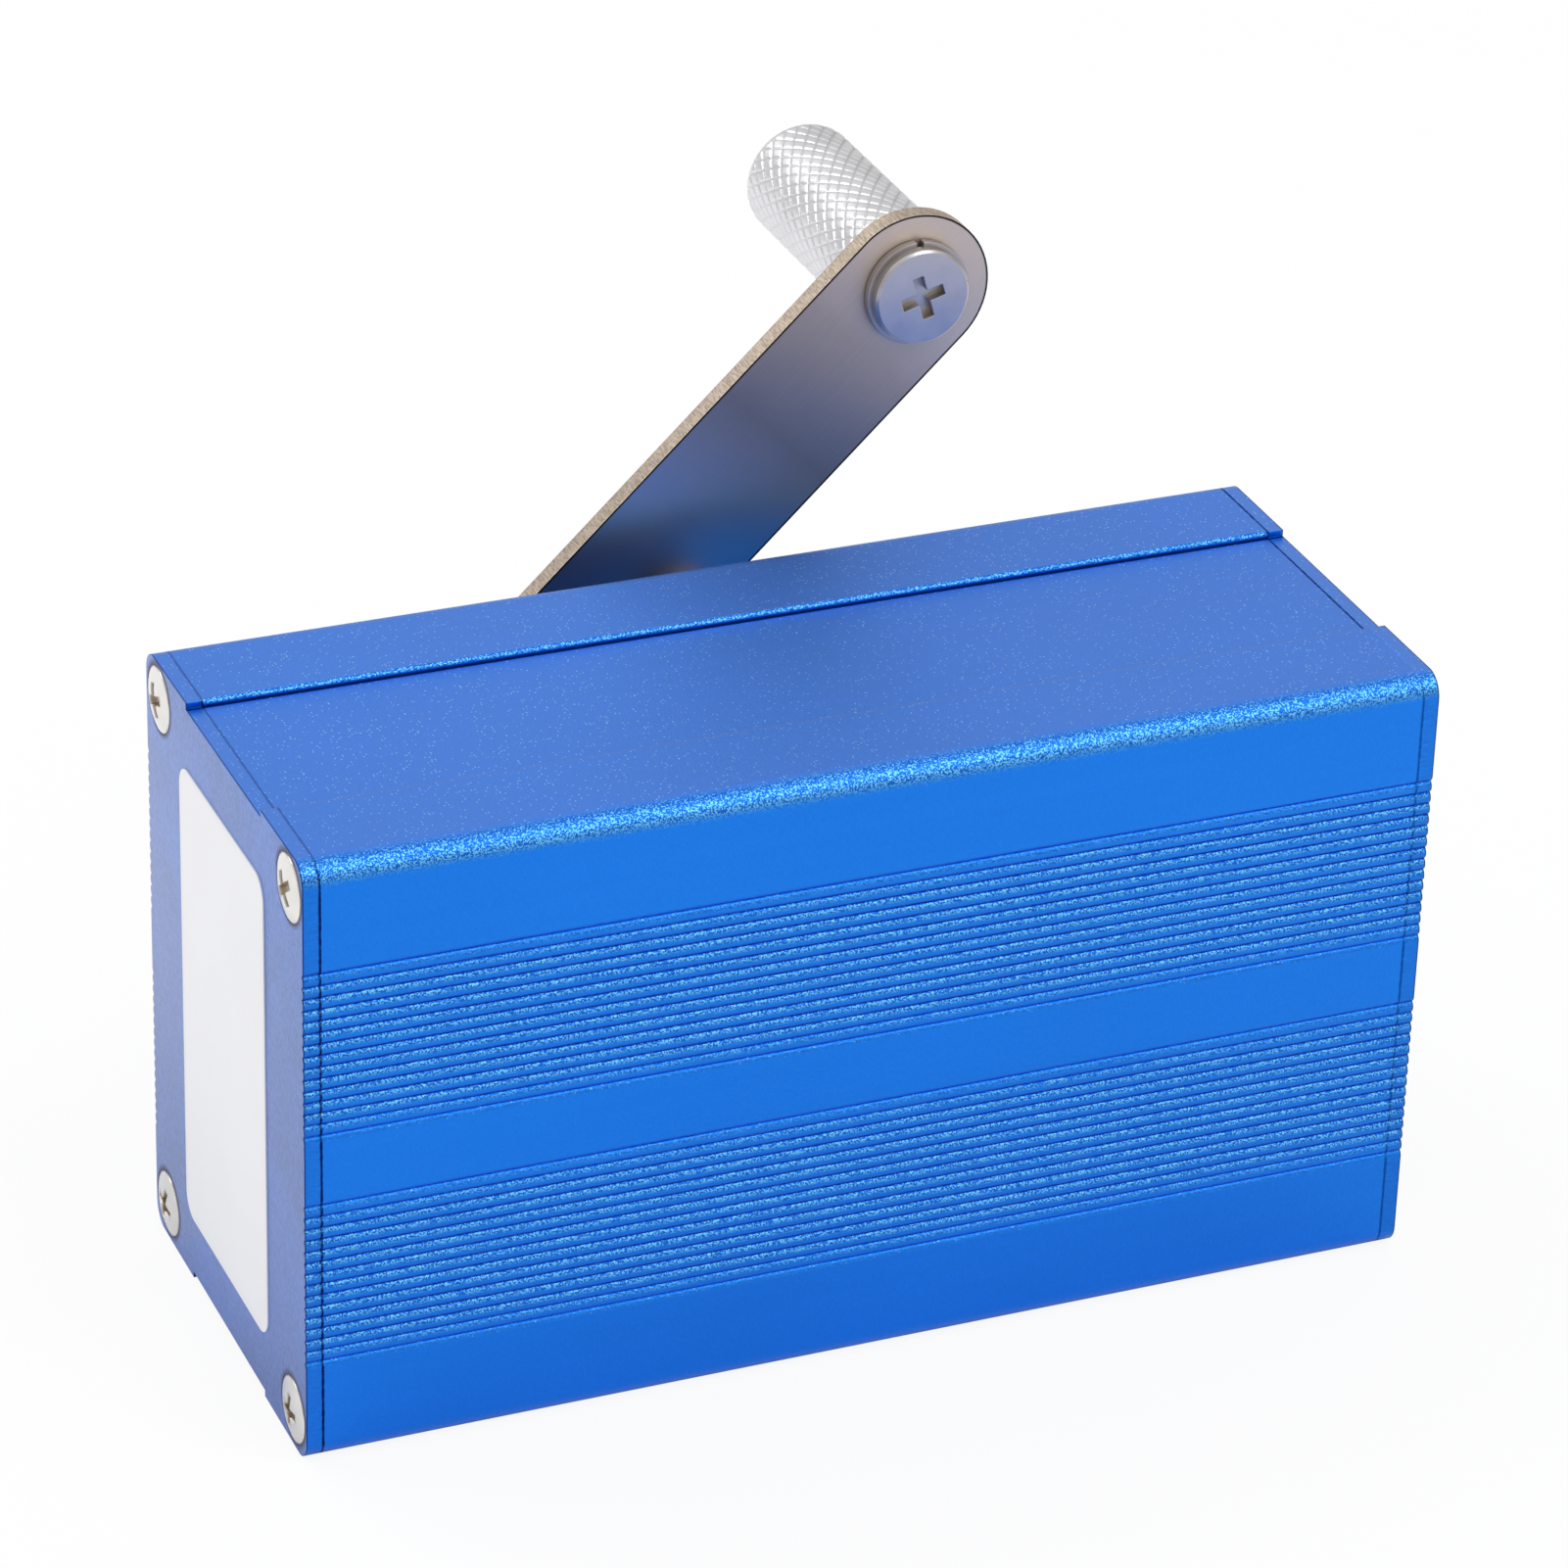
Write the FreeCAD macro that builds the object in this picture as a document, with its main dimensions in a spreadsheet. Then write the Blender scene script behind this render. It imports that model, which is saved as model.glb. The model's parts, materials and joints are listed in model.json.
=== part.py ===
"""Hand crank generator in an extruded aluminium case, as a parametric assembly.

The case stands on one long narrow side. X runs along its length, Y from the plain
front to the crank side, Z up. The origin is the middle of the base of the whole
object's box, with the crank at rest. Lengths are in millimetres.
"""
import FreeCAD, Part
import math
import os
import re
import Sketcher
from FreeCAD import Placement, Rotation, Vector
from fcgear import fcgear, involute

# ---------------------------------------------------------------- driving sizes
SIZES = {
    # case: two equal extruded halves, one turned half a turn about X, and two end plates
    "case_length": 110.0,
    "case_depth": 45.0,
    "case_height": 61.5,
    "corner_radius": 2.2,
    "plate_thickness": 1.6,
    "shell_wall": 1.6,
    "recess_depth": 0.65,
    "long_leg_wall": 1.5,
    "short_leg_wall": 3.2,
    "seam_reach": 10.46,
    "step_reach": 11.05,
    "tongue_length": 2.0,
    "joint_clearance": 0.05,
    "lip_round": 0.45,
    # scalloped ribs along both wide faces, in two bands
    "rib_pitch": 1.17,
    "rib_grooves": 15,
    "rib_depth": 0.3,
    "rib_land": 0.14,
    "rib_band_start": 3.6,
    "rib_crown": 0.72,
    # screw channels in the four corners, and the end plate screws
    "channel_inset_y": 3.75,
    "channel_inset_z": 3.7,
    "channel_boss": 2.7,
    "channel_bore": 1.5,
    "end_screw_head": 3.22,
    "end_screw_dome": 0.55,
    "end_screw_shank": 1.45,
    "end_screw_cone": 1.5,
    "end_screw_length": 8.0,
    "sink_clearance": 0.06,
    "thread_clearance": 0.05,
    "recess_span": 3.3,
    "recess_slot": 0.9,
    "recess_sink": 1.0,
    "end_screw_twist": 37.0,
    "mounting_screw_twist": 25.0,
    "screw_tip": 0.4,
    # label on the left end plate
    "label_width": 24.3,
    "label_height": 47.9,
    "label_shift": 0.35,
    "label_thickness": 0.12,
    "label_radius": 2.3,
    # crank
    "crank_radius": 76.0,
    "crank_angle": 44.0,
    "arm_gap": 6.0,
    "arm_thickness": 2.0,
    "arm_width": 15.2,
    "tenon_side": 6.0,
    "tenon_clearance": 0.03,
    "shaft_collar": 6.0,
    "shaft_radius": 4.0,
    "shaft_nose": 3.0,
    "arm_washer_radius": 6.0,
    "arm_washer_thickness": 1.0,
    "arm_screw_head": 4.4,
    "arm_screw_head_height": 2.4,
    "arm_screw_shank": 1.95,
    "arm_screw_length": 9.0,
    "arm_recess_sink": 1.4,
    # grip
    "grip_radius": 5.9,
    "grip_length": 27.0,
    "grip_round": 1.4,
    "grip_play": 0.1,
    "spigot_radius": 3.0,
    "spigot_clearance": 0.05,
    "grip_washer_radius": 5.2,
    "grip_washer_thickness": 0.8,
    "grip_washer_split": 0.7,
    "grip_screw_head": 4.8,
    "grip_screw_head_height": 1.2,
    "grip_screw_length": 16.0,
    "grip_screw_twist": 17.0,
    "grip_recess_span": 4.4,
    "grip_recess_slot": 1.15,
    "grip_recess_sink": 0.9,
    "head_edge": 0.25,
    # gearbox frame
    "frame_plate": 2.0,
    "frame_clearance": 0.45,
    "frame_gap": 2.0,
    "shaft_inset": 20.1,
    "frame_edge": 3.4,
    "pillar_pitch_x": 49.5,
    "pillar_inset": 2.65,
    "pillar_radius": 2.5,
    "frame_screw_head": 3.4,
    "frame_screw_head_height": 1.9,
    "frame_screw_shank": 1.45,
    "frame_screw_length": 8.0,
    "inner_screw_head_height": 1.6,
    "inner_screw_length": 6.0,
    "rotor_hole_radius": 4.2,
    # bushes
    "running_clearance": 0.04,
    "seat_clearance": 0.02,
    "crank_bush_radius": 6.0,
    "crank_bush_flange": 8.0,
    "crank_flange_thickness": 1.5,
    "nose_bush_radius": 4.2,
    "idler_bush_radius": 3.0,
    "small_flange_step": 0.8,
    "small_flange_thickness": 0.5,
    "end_play": 0.1,
    "cut_margin": 1.0,
    # gear train: crank to first idler to second idler to rotor
    "level_gap": 1.0,
    "mesh_clearance": 0.05,
    "profile_shift": 0.3,
    "pressure_angle": 20.0,
    "drive_module": 0.8,
    "drive_teeth": 48,
    "drive_face": 5.0,
    "drive_hub": 7.0,
    "drive_hub_length": 3.0,
    "drive_pin_radius": 0.75,
    "drive_holes": 6,
    "drive_hole_ring": 13.2,
    "drive_hole_radius": 3.1,
    "first_module": 0.6,
    "first_teeth": 38,
    "first_face": 4.0,
    "first_angle": -30.0,
    "second_module": 0.5,
    "second_teeth": 44,
    "second_face": 3.0,
    "second_angle": 80.0,
    "rotor_angle": 180.0,
    "pinion_teeth": 12,
    "pinion_overlap": 0.2,
    "idler_shaft": 2.0,
    "idler_journal": 1.5,
    "idler_holes": 5,
    "idler_hole_ring": 7.0,
    "idler_hole_radius": 1.9,
    # generator
    "can_radius": 18.0,
    "can_wall": 1.2,
    "can_gap": 3.8,
    "can_bottom": 1.4,
    "can_round": 1.0,
    "end_cap_thickness": 2.5,
    "rotor_shaft": 1.5,
    "bearing_radius": 3.5,
    "bearing_length": 2.5,
    "bearing_boss": 5.5,
    "stack_start": 3.6,
    "stack_below": 4.9,
    "stator_slots": 9,
    "stator_bore": 9.4,
    "yoke_width": 1.9,
    "tooth_width": 3.0,
    "shoe_width": 5.4,
    "shoe_depth": 1.1,
    "coil_turn": 1.9,
    "coil_round": 1.3,
    "coil_clearance": 0.05,
    "rotor_core": 6.9,
    "magnet_count": 6,
    "magnet_radius": 9.0,
    "magnet_gap_angle": 8.0,
    "rotor_overhang": 0.5,
    "spacer_radius": 2.4,
    "generator_screw_circle": 14.2,
    "generator_screw_angle": 75.0,
    "generator_screw_shank": 1.2,
    "generator_screw_head": 2.2,
    "generator_screw_head_height": 1.2,
    "generator_recess_span": 2.4,
    "generator_recess_slot": 0.6,
    "generator_recess_sink": 0.7,
    # circuit board and what it carries
    "board_thickness": 1.6,
    "board_inset": 8.4,
    "board_gap": 3.1,
    "board_edge_gap": 0.8,
    "board_clearance": 0.1,
    "slot_rib_height": 1.5,
    "slot_rib_width": 0.9,
    "rib_root": 0.1,
    "usb_width": 13.1,
    "usb_height": 5.8,
    "usb_depth": 14.0,
    "usb_wall": 0.35,
    "usb_proud": 0.1,
    "usb_back": 4.0,
    "usb_tongue_width": 11.1,
    "usb_tongue_thickness": 1.84,
    "usb_tongue_length": 8.6,
    "usb_tongue_offset": 0.9,
    "usb_contact_inset": 1.0,
    "usb_contact_pitch": 2.3,
    "usb_contact_width": 1.0,
    "usb_contact_thickness": 0.15,
    "opening_clearance": 0.3,
    "led_radius": 1.5,
    "led_flange": 1.9,
    "led_z": 46.0,
    "led_length": 7.0,
    "led_proud": 0.3,
    "led_flange_thickness": 1.0,
    "capacitor_radius": 5.0,
    "capacitor_length": 16.0,
    "capacitor_edge": 0.5,
    "capacitor_groove": 1.8,
    "capacitor_x": 18.0,
    "capacitor_inset": 12.75,
    "coil_box_side": 12.0,
    "coil_box_height": 7.0,
    "coil_box_x": 32.0,
    "coil_box_z": 13.0,
    "coil_box_round": 2.4,
    "core_ring_outer": 4.3,
    "core_ring_inner": 3.4,
    "core_ring_depth": 0.5,
    "chip_x": 32.0,
    "chip_z": 46.0,
    "chip_length": 5.0,
    "chip_height": 1.6,
    "chip_width": 4.0,
    "diode_x": 25.5,
    "diode_z": 24.0,
    "diode_length": 4.3,
    "diode_height": 2.3,
    "diode_width": 2.6,
    "diode_columns": 2,
    "diode_rows": 3,
    "diode_pitch_x": 6.0,
    "diode_pitch_z": 6.5,
    "terminal_gap": 9.1,
    "terminal_length": 7.0,
    "terminal_width": 9.0,
    "terminal_height": 6.0,
    "lead_radius": 0.6,
    "lead_pitch": 2.2,
    "lead_inside": 1.4,
    "lead_climb_start": 8.2,
    "lead_climb_end": 3.8,
    "lead_above_bottom": 1.5,
    "grommet_flange": 0.6,
    "grommet_inside": 0.2,
    "grommet_wall": 0.25,
}

# ------------------------------------------------- sizes that follow from the others
DERIVED = {
    "middle_z": "case_height / 2",
    "half_depth": "case_depth / 2",
    "plate_inner": "case_length / 2 - plate_thickness",
    "groove_half": "(rib_pitch - rib_land) / 2",
    "band_length": "(rib_grooves - 1) * rib_pitch",
    # gearbox frame between the screw channels, and the shaft that it carries
    "frame_height": "case_height - 2 * (channel_inset_z + channel_boss + frame_clearance)",
    "frame_left": "frame_gap - plate_inner",
    "pillar_left_x": "frame_left + frame_edge",
    "pillar_right_x": "pillar_left_x + pillar_pitch_x",
    "frame_right": "pillar_right_x + frame_edge",
    "pillar_pitch_z": "frame_height - 2 * pillar_inset",
    "shaft_x": "frame_left + shaft_inset",
    # crank and arm, going outwards from the crank side of the case
    "grip_x": "shaft_x + crank_radius * cos(crank_angle)",
    "grip_z": "middle_z + crank_radius * sin(crank_angle)",
    "arm_near": "half_depth + arm_gap",
    "arm_far": "arm_near + arm_thickness",
    "grip_start": "arm_far + grip_play",
    "grip_end": "grip_start + grip_length",
    "whole_shift": "-(grip_end - half_depth) / 2",
    "collar_start": "half_depth + crank_flange_thickness + end_play",
    # gearbox levels, going inwards from the crank side
    "frame_back": "half_depth - shell_wall",
    "frame_face": "frame_back - frame_plate",
    "level_one": "frame_face - level_gap",
    "level_one_end": "level_one - drive_face",
    "level_two": "level_one_end - level_gap",
    "level_two_end": "level_two - first_face",
    "level_three": "level_two_end - level_gap",
    "level_three_end": "level_three - second_face",
    "front_plate_back": "level_three_end - level_gap",
    "front_plate_face": "front_plate_back - frame_plate",
    "frame_top": "middle_z + frame_height / 2",
    "frame_bottom": "middle_z - frame_height / 2",
    # gear centres
    "first_distance": "drive_module * (drive_teeth + pinion_teeth) / 2 + mesh_clearance",
    "second_distance": "first_module * (first_teeth + pinion_teeth) / 2 + mesh_clearance",
    "rotor_distance": "second_module * (second_teeth + pinion_teeth) / 2 + mesh_clearance",
    "first_x": "shaft_x + first_distance * cos(first_angle)",
    "first_z": "middle_z + first_distance * sin(first_angle)",
    "second_x": "first_x + second_distance * cos(second_angle)",
    "second_z": "first_z + second_distance * sin(second_angle)",
    "rotor_x": "second_x + rotor_distance * cos(rotor_angle)",
    "rotor_z": "second_z + rotor_distance * sin(rotor_angle)",
    # generator, going forwards from the front frame plate
    "cap_face": "front_plate_face - end_cap_thickness",
    "can_depth": "cap_face + half_depth - shell_wall - can_gap",
    "stack_length": "can_depth - stack_start - stack_below",
    "rotor_length": "stack_length + 2 * rotor_overhang",
    "can_end": "cap_face - can_depth",
    "can_inside": "can_radius - can_wall",
    "stack_top": "cap_face - stack_start",
    "stack_end": "stack_top - stack_length",
    "yoke_inner": "can_inside - seat_clearance - yoke_width",
    "shoe_outer": "stator_bore + shoe_depth",
    "coil_half_width": "tooth_width / 2 + coil_clearance + coil_turn",
    "coil_end": "sqrt(yoke_inner * yoke_inner - coil_half_width * coil_half_width)",
    "coil_height": "coil_end - shoe_outer - 2 * coil_clearance",
    "rotor_top": "(stack_top + stack_end + rotor_length) / 2",
    "rotor_end": "rotor_top - rotor_length",
    "lower_bearing": "can_end + bearing_length",
    "lead_y": "can_end + can_bottom + lead_above_bottom",
    # circuit board
    "board_y": "board_inset - half_depth",
    "board_left": "frame_right + board_gap",
    "terminal_x": "frame_right + terminal_gap",
    "capacitor_pitch": "case_height - 2 * capacitor_inset",
    "board_back": "board_y + board_thickness / 2",
    "board_front": "board_y - board_thickness / 2",
    "board_right": "plate_inner - board_edge_gap",
    "board_bottom": "short_leg_wall + board_clearance",
    "board_top": "case_height - recess_depth - long_leg_wall - board_clearance",
    "usb_mouth": "case_length / 2 + usb_proud",
    "usb_start": "usb_mouth - usb_depth",
    "led_y": "board_back + led_flange",
}

SHEET = "sizes"
doc = FreeCAD.newDocument("hand_crank_generator")
sheet = doc.addObject("Spreadsheet::Sheet", SHEET)
for row, (alias, number) in enumerate(SIZES.items(), start=1):
    sheet.set(f"A{row}", alias.replace("_", " "))
    sheet.set(f"B{row}", str(number))
    sheet.setAlias(f"B{row}", alias)
doc.recompute()

PARTS = []
WORD = re.compile(r"[a-z][a-z_0-9]*")


def expand(text):
    """Return a size formula with every name tied to the sheet."""
    def swap(match):
        name = match.group(0)
        if name in DERIVED:
            return "(" + expand(DERIVED[name]) + ")"
        if name in SIZES:
            return SHEET + "." + name
        return name
    return WORD.sub(swap, text)


def value(text):
    """Return the number that a size formula gives."""
    return float(sheet.evalExpression(expand(text)))


def bind(item, **formulas):
    """Tie properties of an object to size formulas."""
    for name, text in formulas.items():
        item.setExpression(name, expand(text))


def place(item, x="0", y="0", z="0", rotation=None):
    """Place an object in the case's frame, moved as the whole object is."""
    if rotation is not None:
        item.Placement = Placement(Vector(), rotation)
    for axis, text in (("x", x), ("y", y), ("z", z)):
        item.setExpression("Placement.Base." + axis, expand(text))


def turn_in_face(item, angle):
    """Turn an object in the crank side's plane, from +X towards +Z."""
    item.Placement = Placement(item.Placement.Base, Rotation(Vector(0, -1, 0), value(angle)))
    item.setExpression("Placement.Rotation.Angle", expand(angle))


def keep(item):
    """List an object as a sub-part that gets its own file."""
    PARTS.append(item)
    return item


# --------------------------------------------------------------- sketches and bodies
def new_body(label, x="0", y="0", z="0"):
    """Start a PartDesign body with its own label and place."""
    body = doc.addObject("PartDesign::Body", label)
    body.Label = label
    place(body, x, y + " + whole_shift", z)
    return body


def new_sketch(body, plane, offset="0"):
    """Add a sketch on one of the body's origin planes, moved along its normal."""
    sketch = body.newObject("Sketcher::SketchObject", body.Name + "_sketch")
    support = [item for item in body.Origin.OriginFeatures if item.Role == plane][0]
    sketch.AttachmentSupport = (support, [""])
    sketch.MapMode = "FlatFace"
    sketch.setExpression("AttachmentOffset.Base.z", expand(offset))
    return sketch


def pin_point(sketch, edge, end, x, y):
    """Fix an edge's end at a point given by two size formulas."""
    for kind, axis, text in (("DistanceX", -2, x), ("DistanceY", -1, y)):
        if text == "0":
            sketch.addConstraint(Sketcher.Constraint("PointOnObject", edge, end, axis))
            continue
        index = sketch.addConstraint(
            Sketcher.Constraint(kind, -1, 1, edge, end, value(text)))
        sketch.setExpression(f"Constraints[{index}]", expand(text))


def arc_between(start, end, radius):
    """Return an arc from start to end, and which of its ends is the start.

    A positive radius turns left on the way, a negative one turns right.
    """
    chord = end - start
    half = chord.Length / 2
    height = math.sqrt(max(radius * radius - half * half, 0.0))
    left = Vector(-chord.y, chord.x, 0).normalize()
    centre = (start + end) * 0.5 + left * math.copysign(height, radius)
    first, last = (start, end) if radius > 0 else (end, start)
    angles = [math.atan2(p.y - centre.y, p.x - centre.x) for p in (first, last)]
    circle = Part.Circle(centre, Vector(0, 0, 1), abs(radius))
    return Part.ArcOfCircle(circle, *angles), (1, 2) if radius > 0 else (2, 1)


def outline(sketch, steps):
    """Draw a closed outline.

    Each step is a point, (x, y), reached by a line, or (x, y, radius), reached by an
    arc from the point before it.
    """
    points = [Vector(value(step[0]), value(step[1]), 0) for step in steps]
    first_edge = sketch.GeometryCount
    ends = []
    for index, point in enumerate(points):
        following = (index + 1) % len(points)
        if len(steps[following]) == 3:
            edge, order = arc_between(point, points[following], value(steps[following][2]))
        else:
            edge, order = Part.LineSegment(point, points[following]), (1, 2)
        sketch.addGeometry(edge, False)
        ends.append(order)
    for index, step in enumerate(steps):
        edge = first_edge + index
        before = first_edge + (index - 1) % len(steps)
        sketch.addConstraint(Sketcher.Constraint(
            "Coincident", before, ends[index - 1][1], edge, ends[index][0]))
        pin_point(sketch, edge, ends[index][0], step[0], step[1])
        if len(step) < 3:
            continue
        radius = abs(value(step[2]))
        if points[index].distanceToPoint(points[index - 1]) > 2 * radius - 1e-6:
            sketch.addConstraint(
                Sketcher.Constraint("Symmetric", before, 1, before, 2, before, 3))
            continue
        bound = sketch.addConstraint(Sketcher.Constraint("Radius", before, radius))
        sketch.setExpression(f"Constraints[{bound}]", expand(f"abs({step[2]})"))


def rectangle(sketch, left, bottom, right, top):
    """Draw a rectangle between two corners."""
    outline(sketch, [(left, bottom), (right, bottom), (right, top), (left, top)])


def circle(sketch, x, y, radius):
    """Draw a circle."""
    edge = sketch.addGeometry(
        Part.Circle(Vector(value(x), value(y), 0), Vector(0, 0, 1), value(radius)), False)
    pin_point(sketch, edge, 3, x, y)
    index = sketch.addConstraint(Sketcher.Constraint("Radius", edge, value(radius)))
    sketch.setExpression(f"Constraints[{index}]", expand(radius))


def cross(sketch, span, slot):
    """Draw the outline of a cross recess."""
    far, near = f"{span} / 2", f"{slot} / 2"
    corners = [(far, near), (near, near), (near, far)]
    steps = []
    for sign_x, sign_y, order in ((1, 1, 1), (-1, 1, -1), (-1, -1, 1), (1, -1, -1)):
        for x, y in corners[::order]:
            steps.append((f"{sign_x} * {x}", f"{sign_y} * {y}"))
    outline(sketch, steps)


def pad(body, sketch, length, both_ways=False, reverse=False):
    """Extrude a sketch into the body."""
    feature = body.newObject("PartDesign::Pad", body.Name + "_pad")
    feature.Profile = sketch
    feature.SideType = "Symmetric" if both_ways else "One side"
    feature.Reversed = reverse
    bind(feature, Length=length)
    return feature


def pocket(body, sketch, depth=None, reverse=False):
    """Cut a sketch out of the body: right through both ways, or to a depth."""
    feature = body.newObject("PartDesign::Pocket", body.Name + "_pocket")
    feature.Profile = sketch
    if depth is None:
        feature.Type = "ThroughAll"
        feature.SideType = "Symmetric"
    else:
        feature.Type = "Length"
        feature.Reversed = reverse
        bind(feature, Length=depth)
    return feature


def round_edges(body, base, chosen, radius):
    """Fillet the edges of a feature that a test picks out."""
    doc.recompute()
    names = [f"Edge{index + 1}" for index, edge in enumerate(base.Shape.Edges)
             if chosen(edge)]
    feature = body.newObject("PartDesign::Fillet", body.Name + "_fillet")
    feature.Base = (base, names)
    bind(feature, Radius=radius)
    return feature


def runs_along(edge, axis, **where):
    """Say whether a straight edge lies along an axis at the given coordinates."""
    if not isinstance(edge.Curve, Part.Line):
        return False
    direction = edge.Curve.Direction
    if abs(abs(getattr(direction, axis)) - 1) > 1e-6:
        return False
    middle = edge.CenterOfMass
    return all(abs(getattr(middle, name) - number) < 1e-4 for name, number in where.items())


def turned(label, axis, steps, x="0", y="0", z="0"):
    """Make a body turned about the X or Y axis from (station, radius) steps."""
    body = new_body(label, x, y, z)
    sketch = new_sketch(body, "XY_Plane")
    if axis == "y":
        steps = [(step[1], step[0], *(f"-({arc})" for arc in step[2:])) for step in steps]
    outline(sketch, steps)
    feature = body.newObject("PartDesign::Revolution", label + "_turn")
    feature.Profile = sketch
    feature.ReferenceAxis = (sketch, ["H_Axis" if axis == "x" else "V_Axis"])
    feature.Angle = 360
    return body


def copies(label, master, places):
    """Make one sub-part of separate copies of a master, each (x, y, z, rotation)."""
    links = []
    for index, (x, y, z, rotation) in enumerate(places, start=1):
        link = doc.addObject("App::Link", f"{label}_{index}")
        link.LinkedObject = master
        place(link, x, y, z, rotation)
        links.append(link)
    group = doc.addObject("Part::Compound", label)
    group.Label = label
    group.Links = links
    place(group, y="whole_shift")
    return keep(group)


def box(label, corner, size):
    """Make a plain box from its lowest corner and its size."""
    block = doc.addObject("Part::Box", label)
    block.Label = label
    bind(block, Length=size[0], Width=size[1], Height=size[2])
    place(block, *corner)
    return block


def cylinder(label, radius, length, x, rear, z):
    """Make a cylinder that runs forwards, against Y, from its rear end."""
    rod = doc.addObject("Part::Cylinder", label)
    rod.Label = label
    bind(rod, Radius=radius, Height=length)
    place(rod, x, rear, z, FORWARDS)
    return rod


def combine(kind, label, base, tool):
    """Cut one object from another, or fuse two."""
    result = doc.addObject("Part::" + kind, label)
    result.Label = label
    result.Base = base
    result.Tool = tool
    return result


FORWARDS = Rotation(Vector(1, 0, 0), 90)
FACING_REAR = Rotation()
FACING_FRONT = Rotation(Vector(0, 0, 1), 180)
FACING_LEFT = Rotation(Vector(0, 0, 1), 90)
FACING_RIGHT = Rotation(Vector(0, 0, 1), -90)
HALF_TURN_ABOUT_X = Rotation(Vector(1, 0, 0), 180)


# ------------------------------------------------------------------------ the case
def cut_ribs(body, thickness_way):
    """Cut the scalloped grooves of both bands along one wide face of a body."""
    sketch = new_sketch(body, "YZ_Plane")
    face = f"{thickness_way} * half_depth"
    outside = f"{thickness_way} * (half_depth + cut_margin)"
    root = f"{thickness_way} * (half_depth - rib_depth)"
    turn = f"{thickness_way} * rib_crown"
    for band in ("middle_z + rib_band_start", "middle_z - rib_band_start - band_length"):
        outline(sketch, [(outside, f"{band} + groove_half"),
                         (outside, f"{band} - groove_half"),
                         (face, f"{band} - groove_half"),
                         (root, band, turn),
                         (face, f"{band} + groove_half", turn)])
    first = pocket(body, sketch)
    pattern = body.newObject("PartDesign::LinearPattern", body.Name + "_ribs")
    pattern.Originals = [first]
    pattern.Direction = (sketch, ["V_Axis"])
    bind(pattern, Length="band_length", Occurrences="rib_grooves")
    body.Tip = pattern
    return pattern


def shell_body(label):
    """Make one extruded half, as it lies on the front side."""
    body = new_body(label)
    profile = new_sketch(body, "YZ_Plane")
    outline(profile, [
        ("-seam_reach", "0"),
        ("-seam_reach", "recess_depth - joint_clearance"),
        ("-seam_reach - tongue_length - joint_clearance", "recess_depth - joint_clearance"),
        ("-seam_reach - tongue_length - joint_clearance",
         "recess_depth + long_leg_wall + joint_clearance"),
        ("-seam_reach", "recess_depth + long_leg_wall + joint_clearance"),
        ("-seam_reach", "short_leg_wall"),
        ("-half_depth + shell_wall", "short_leg_wall"),
        ("-half_depth + shell_wall", "case_height - recess_depth - long_leg_wall"),
        ("seam_reach + tongue_length", "case_height - recess_depth - long_leg_wall"),
        ("seam_reach + tongue_length", "case_height - recess_depth"),
        ("-step_reach", "case_height - recess_depth"),
        ("-step_reach", "case_height"),
        ("-half_depth", "case_height"),
        ("-half_depth", "0"),
    ])
    wall = pad(body, profile, "2 * plate_inner", both_ways=True)

    def outer_corner(edge):
        return any(runs_along(edge, "x", y=-value("half_depth"), z=level)
                   for level in (0, value("case_height")))

    def lip(edge):
        return runs_along(edge, "x", y=-value("seam_reach"), z=0)

    corners = round_edges(body, wall, outer_corner, "corner_radius")
    round_edges(body, corners, lip, "lip_round")

    channels = new_sketch(body, "YZ_Plane")
    slots = new_sketch(body, "YZ_Plane")
    levels = ("channel_inset_z", "case_height - channel_inset_z")
    for level in levels:
        circle(channels, "-half_depth + channel_inset_y", level, "channel_boss")
    pad(body, channels, "2 * plate_inner", both_ways=True)
    low, high = "short_leg_wall", "case_height - recess_depth - long_leg_wall"
    for near, far in (("board_back + board_clearance", "board_back + board_clearance"
                       " + slot_rib_width"),
                      ("board_front - board_clearance - slot_rib_width",
                       "board_front - board_clearance")):
        rectangle(slots, near, f"{low} - rib_root", far, f"{low} + slot_rib_height")
        rectangle(slots, near, f"{high} - slot_rib_height", far, f"{high} + rib_root")
    pad(body, slots, "2 * plate_inner", both_ways=True)
    bores = new_sketch(body, "YZ_Plane")
    for level in levels:
        circle(bores, "-half_depth + channel_inset_y", level, "channel_bore")
    pocket(body, bores)
    cut_ribs(body, -1)
    return body


def front_shell():
    """The plain half, which also carries the circuit board in its slots."""
    keep(shell_body("front_shell"))


def rear_shell():
    """The crank half: the same extrusion turned over and drilled for the gearbox."""
    body = shell_body("rear_shell")
    body.Placement = Placement(Vector(), HALF_TURN_ABOUT_X)
    place(body, "0", "whole_shift", "case_height")
    holes = new_sketch(body, "XZ_Plane", "half_depth - shell_wall / 2")
    circle(holes, "shaft_x", "case_height - middle_z", "crank_bush_radius + seat_clearance")
    for x in ("pillar_left_x", "pillar_right_x"):
        for way in ("+", "-"):
            circle(holes, x, f"middle_z {way} pillar_pitch_z / 2",
                   "frame_screw_shank + thread_clearance")
    drill = pocket(body, holes, "2 * shell_wall")
    drill.SideType = "Symmetric"
    body.Tip = drill
    keep(body)


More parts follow.
